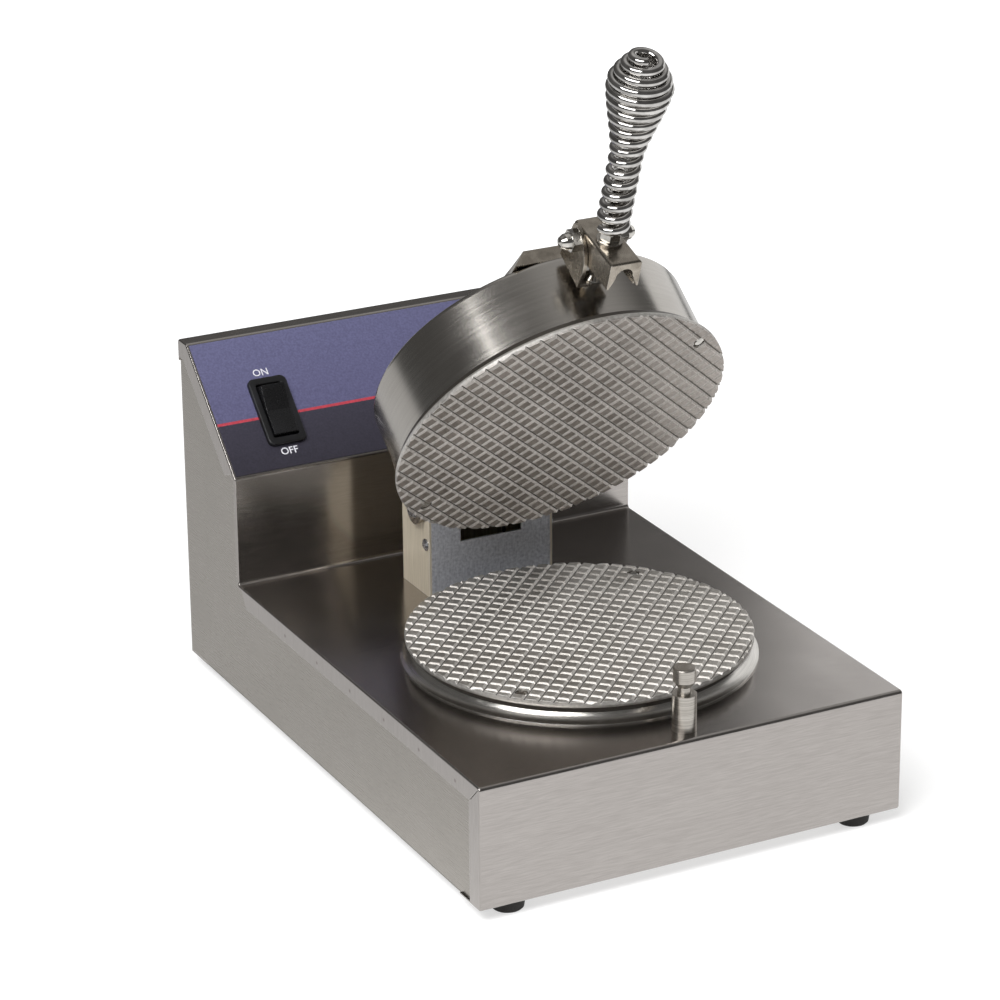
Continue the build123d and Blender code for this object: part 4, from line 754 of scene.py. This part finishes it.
def coil_radius(turn):
    neck_top = coil_height(neck_turns)
    rise = coil_height(turn) - neck_top
    if rise <= 0:
        return neck_radius
    if rise <= bulb_rise:
        part = rise / bulb_rise
        return neck_radius + (bulb_radius - neck_radius) * (part + part**2 * (3 - 2 * part)) / 2
    part = (rise - bulb_rise) / (coil_height(neck_turns + bulb_turns) - neck_top - bulb_rise)
    return bulb_radius - (bulb_radius - end_radius) * part**1.4


def coil_place(turn):
    angle = start_angle + 2 * math.pi * turn
    radius = coil_radius(turn)
    local = Vector((radius * math.cos(angle), radius * math.sin(angle) - stud_before_pivot, 0))
    local.z = first_wire + coil_height(turn)
    return pivot + handle_turn @ (local * mm)


wire = bpy.data.curves.new("coil_wire", "CURVE")
wire.dimensions = "3D"
wire.bevel_depth = wire_radius * mm
wire.bevel_resolution = 6
wire.use_fill_caps = True
winding = wire.splines.new("POLY")
turns = neck_turns + bulb_turns
count = int(turns * points_per_turn)
winding.points.add(count)
for index, point in enumerate(winding.points):
    point.co = (*coil_place(turns * index / count), 1.0)
wire.materials.append(chrome)
coil = bpy.data.objects.new("coil_of_wire", wire)
bpy.context.collection.objects.link(coil)
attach(coil, "handle")
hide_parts("coil_grip")
wire_places = [point.co[:3] for point in winding.points]
wire_length = sum(math.dist(start, end) for start, end in zip(wire_places, wire_places[1:]))
print("wire length", round(wire_length, 2), "m")

# %% [markdown]
# ## Round surfaces shade round
# CAD meshes arrive flat-shaded. Smooth shading up to thirty degrees lets cylinders and bends
# look round and keeps the folds of the sheet sharp.

# %% Smooth shading
smooth_up_to = 30.0
for node in nodes.values():
    for polygon in node.data.polygons:
        polygon.use_smooth = True
    node.data.set_sharp_from_angle(angle=math.radians(smooth_up_to))

# %% [markdown]
# ## The studio
# Steel shows the room more than itself, so the room is designed. The white floor gives the
# light front and side. A dark room behind the iron gives the deck its deep grey, and a paler
# patch of ceiling gives the top of the drum its soft band. A softbox at the front left makes
# the near walls of the tiles, the collar and the wires sparkle. Another one at the right lights
# the far end of the drum and the right of the deck. The overhead light only lights what is
# matt, such as the film and the rubber. The floor and the backdrop look plain white to the
# camera, with a soft shadow under the iron.

# %% Floor, room and lights
bpy.context.scene.view_settings.view_transform = "Standard"


def studio_floor(reach=8.0):
    """White floor: part of it is plain light, so only a soft shadow shows under the iron."""
    mesh = bpy.data.meshes.new("floor")
    corners = [(-reach, -reach, 0), (reach, -reach, 0), (reach, reach, 0), (-reach, reach, 0)]
    mesh.from_pydata(corners, [], [(0, 1, 2, 3)])
    floor = bpy.data.objects.new("floor", mesh)
    bpy.context.collection.objects.link(floor)
    material, tree, shader = new_material("floor_white", "#EDEDED", 0.0, 0.95)
    path = add_node(tree, "ShaderNodeLightPath")
    spot = add_node(tree, "ShaderNodeSeparateXYZ", {"Vector": object_place(tree)})
    across = math_node(tree, "SUBTRACT", spot.outputs["X"], spot.outputs["Y"])
    inputs = {"Value": across, "From Min": -0.25, "From Max": 0.15, "To Min": 0.6, "To Max": 1.0}
    gradient = add_node(tree, "ShaderNodeMapRange", inputs, interpolation_type="SMOOTHSTEP").outputs[0]
    away = length(tree, object_place(tree))
    inputs = {"Value": away, "From Min": 1.4, "From Max": 3.0, "To Min": 1.0, "To Max": 0.12}
    fade = add_node(tree, "ShaderNodeMapRange", inputs, interpolation_type="SMOOTHSTEP").outputs[0]
    gradient = math_node(tree, "MULTIPLY", gradient, fade)
    mirrored = math_node(tree, "MULTIPLY", gradient, path.outputs["Is Glossy Ray"])
    plain = math_node(tree, "MULTIPLY", path.outputs["Is Camera Ray"], 1.5)
    strength = math_node(tree, "ADD", mirrored, plain)
    glow = add_node(tree, "ShaderNodeEmission", {"Strength": strength})
    inputs = {"Value": away, "From Min": 0.4, "From Max": 1.0, "To Min": 0.4, "To Max": 1.0}
    far = add_node(tree, "ShaderNodeMapRange", inputs).outputs[0]
    to_camera = math_node(tree, "MULTIPLY", path.outputs["Is Camera Ray"], far)
    to_mirrors = math_node(tree, "MULTIPLY", path.outputs["Is Glossy Ray"], 0.8)
    share = math_node(tree, "ADD", to_camera, to_mirrors)
    mixed = add_node(tree, "ShaderNodeMixShader", {0: share, 1: shader.outputs[0], 2: glow.outputs[0]})
    tree.links.new(mixed.outputs[0], tree.nodes["Material Output"].inputs["Surface"])
    mesh.materials.append(material)
    return floor


def studio_world():
    """Room whose brightness changes towards a place overhead, a little to the right."""
    world = bpy.data.worlds.new("studio")
    bpy.context.scene.world = world
    world.use_nodes = True
    tree = world.node_tree
    direction = add_node(tree, "ShaderNodeTexCoord").outputs["Generated"]
    brightest = Vector((0.25, 0.3, 0.92)).normalized()
    towards = add_node(tree, "ShaderNodeVectorMath", {0: direction}, operation="DOT_PRODUCT")
    towards.inputs[1].default_value = brightest
    room = ramp(
        tree,
        towards.outputs["Value"],
        (0.0, "#585858"),
        (0.05, "#555453"),
        (0.6, "#585756"),
        (0.78, "#6A6968"),
        (0.84, "#8C8B8A"),
        (0.9, "#B0AFAE"),
        (1.0, "#B8B7B6"),
    )
    path = add_node(tree, "ShaderNodeLightPath")
    seen = add_node(tree, "ShaderNodeMix", data_type="RGBA")
    tree.links.new(path.outputs["Is Camera Ray"], seen.inputs["Factor"])
    tree.links.new(room, seen.inputs[6])
    seen.inputs[7].default_value = (1, 1, 1, 1)
    tree.links.new(seen.outputs[2], tree.nodes["Background"].inputs["Color"])


def softbox(name, direction, distance, width, height, radiance, mirrored=True):
    """Area light that stands off in a direction and faces the iron."""
    light = bpy.data.lights.new(name, "AREA")
    light.shape = "RECTANGLE"
    light.size = width
    light.size_y = height
    light.energy = radiance * math.pi * width * height
    stand = bpy.data.objects.new(name, light)
    bpy.context.collection.objects.link(stand)
    away = Vector(direction).normalized()
    stand.location = Vector((0, 0, 0.15)) + away * distance
    stand.rotation_euler = away.to_track_quat("Z", "Y").to_euler()
    stand.visible_glossy = mirrored
    return stand


studio_floor()
studio_world()
softbox("overhead", (-0.4, -0.3, 0.87), 1.9, 1.4, 1.4, 6.0, mirrored=False)
softbox("right_rear", (0.88, 0.4, 0.28), 1.2, 1.2, 0.6, 0.84)
softbox("front_left", (-0.62, -0.42, 0.66), 1.3, 1.0, 0.5, 6.8)
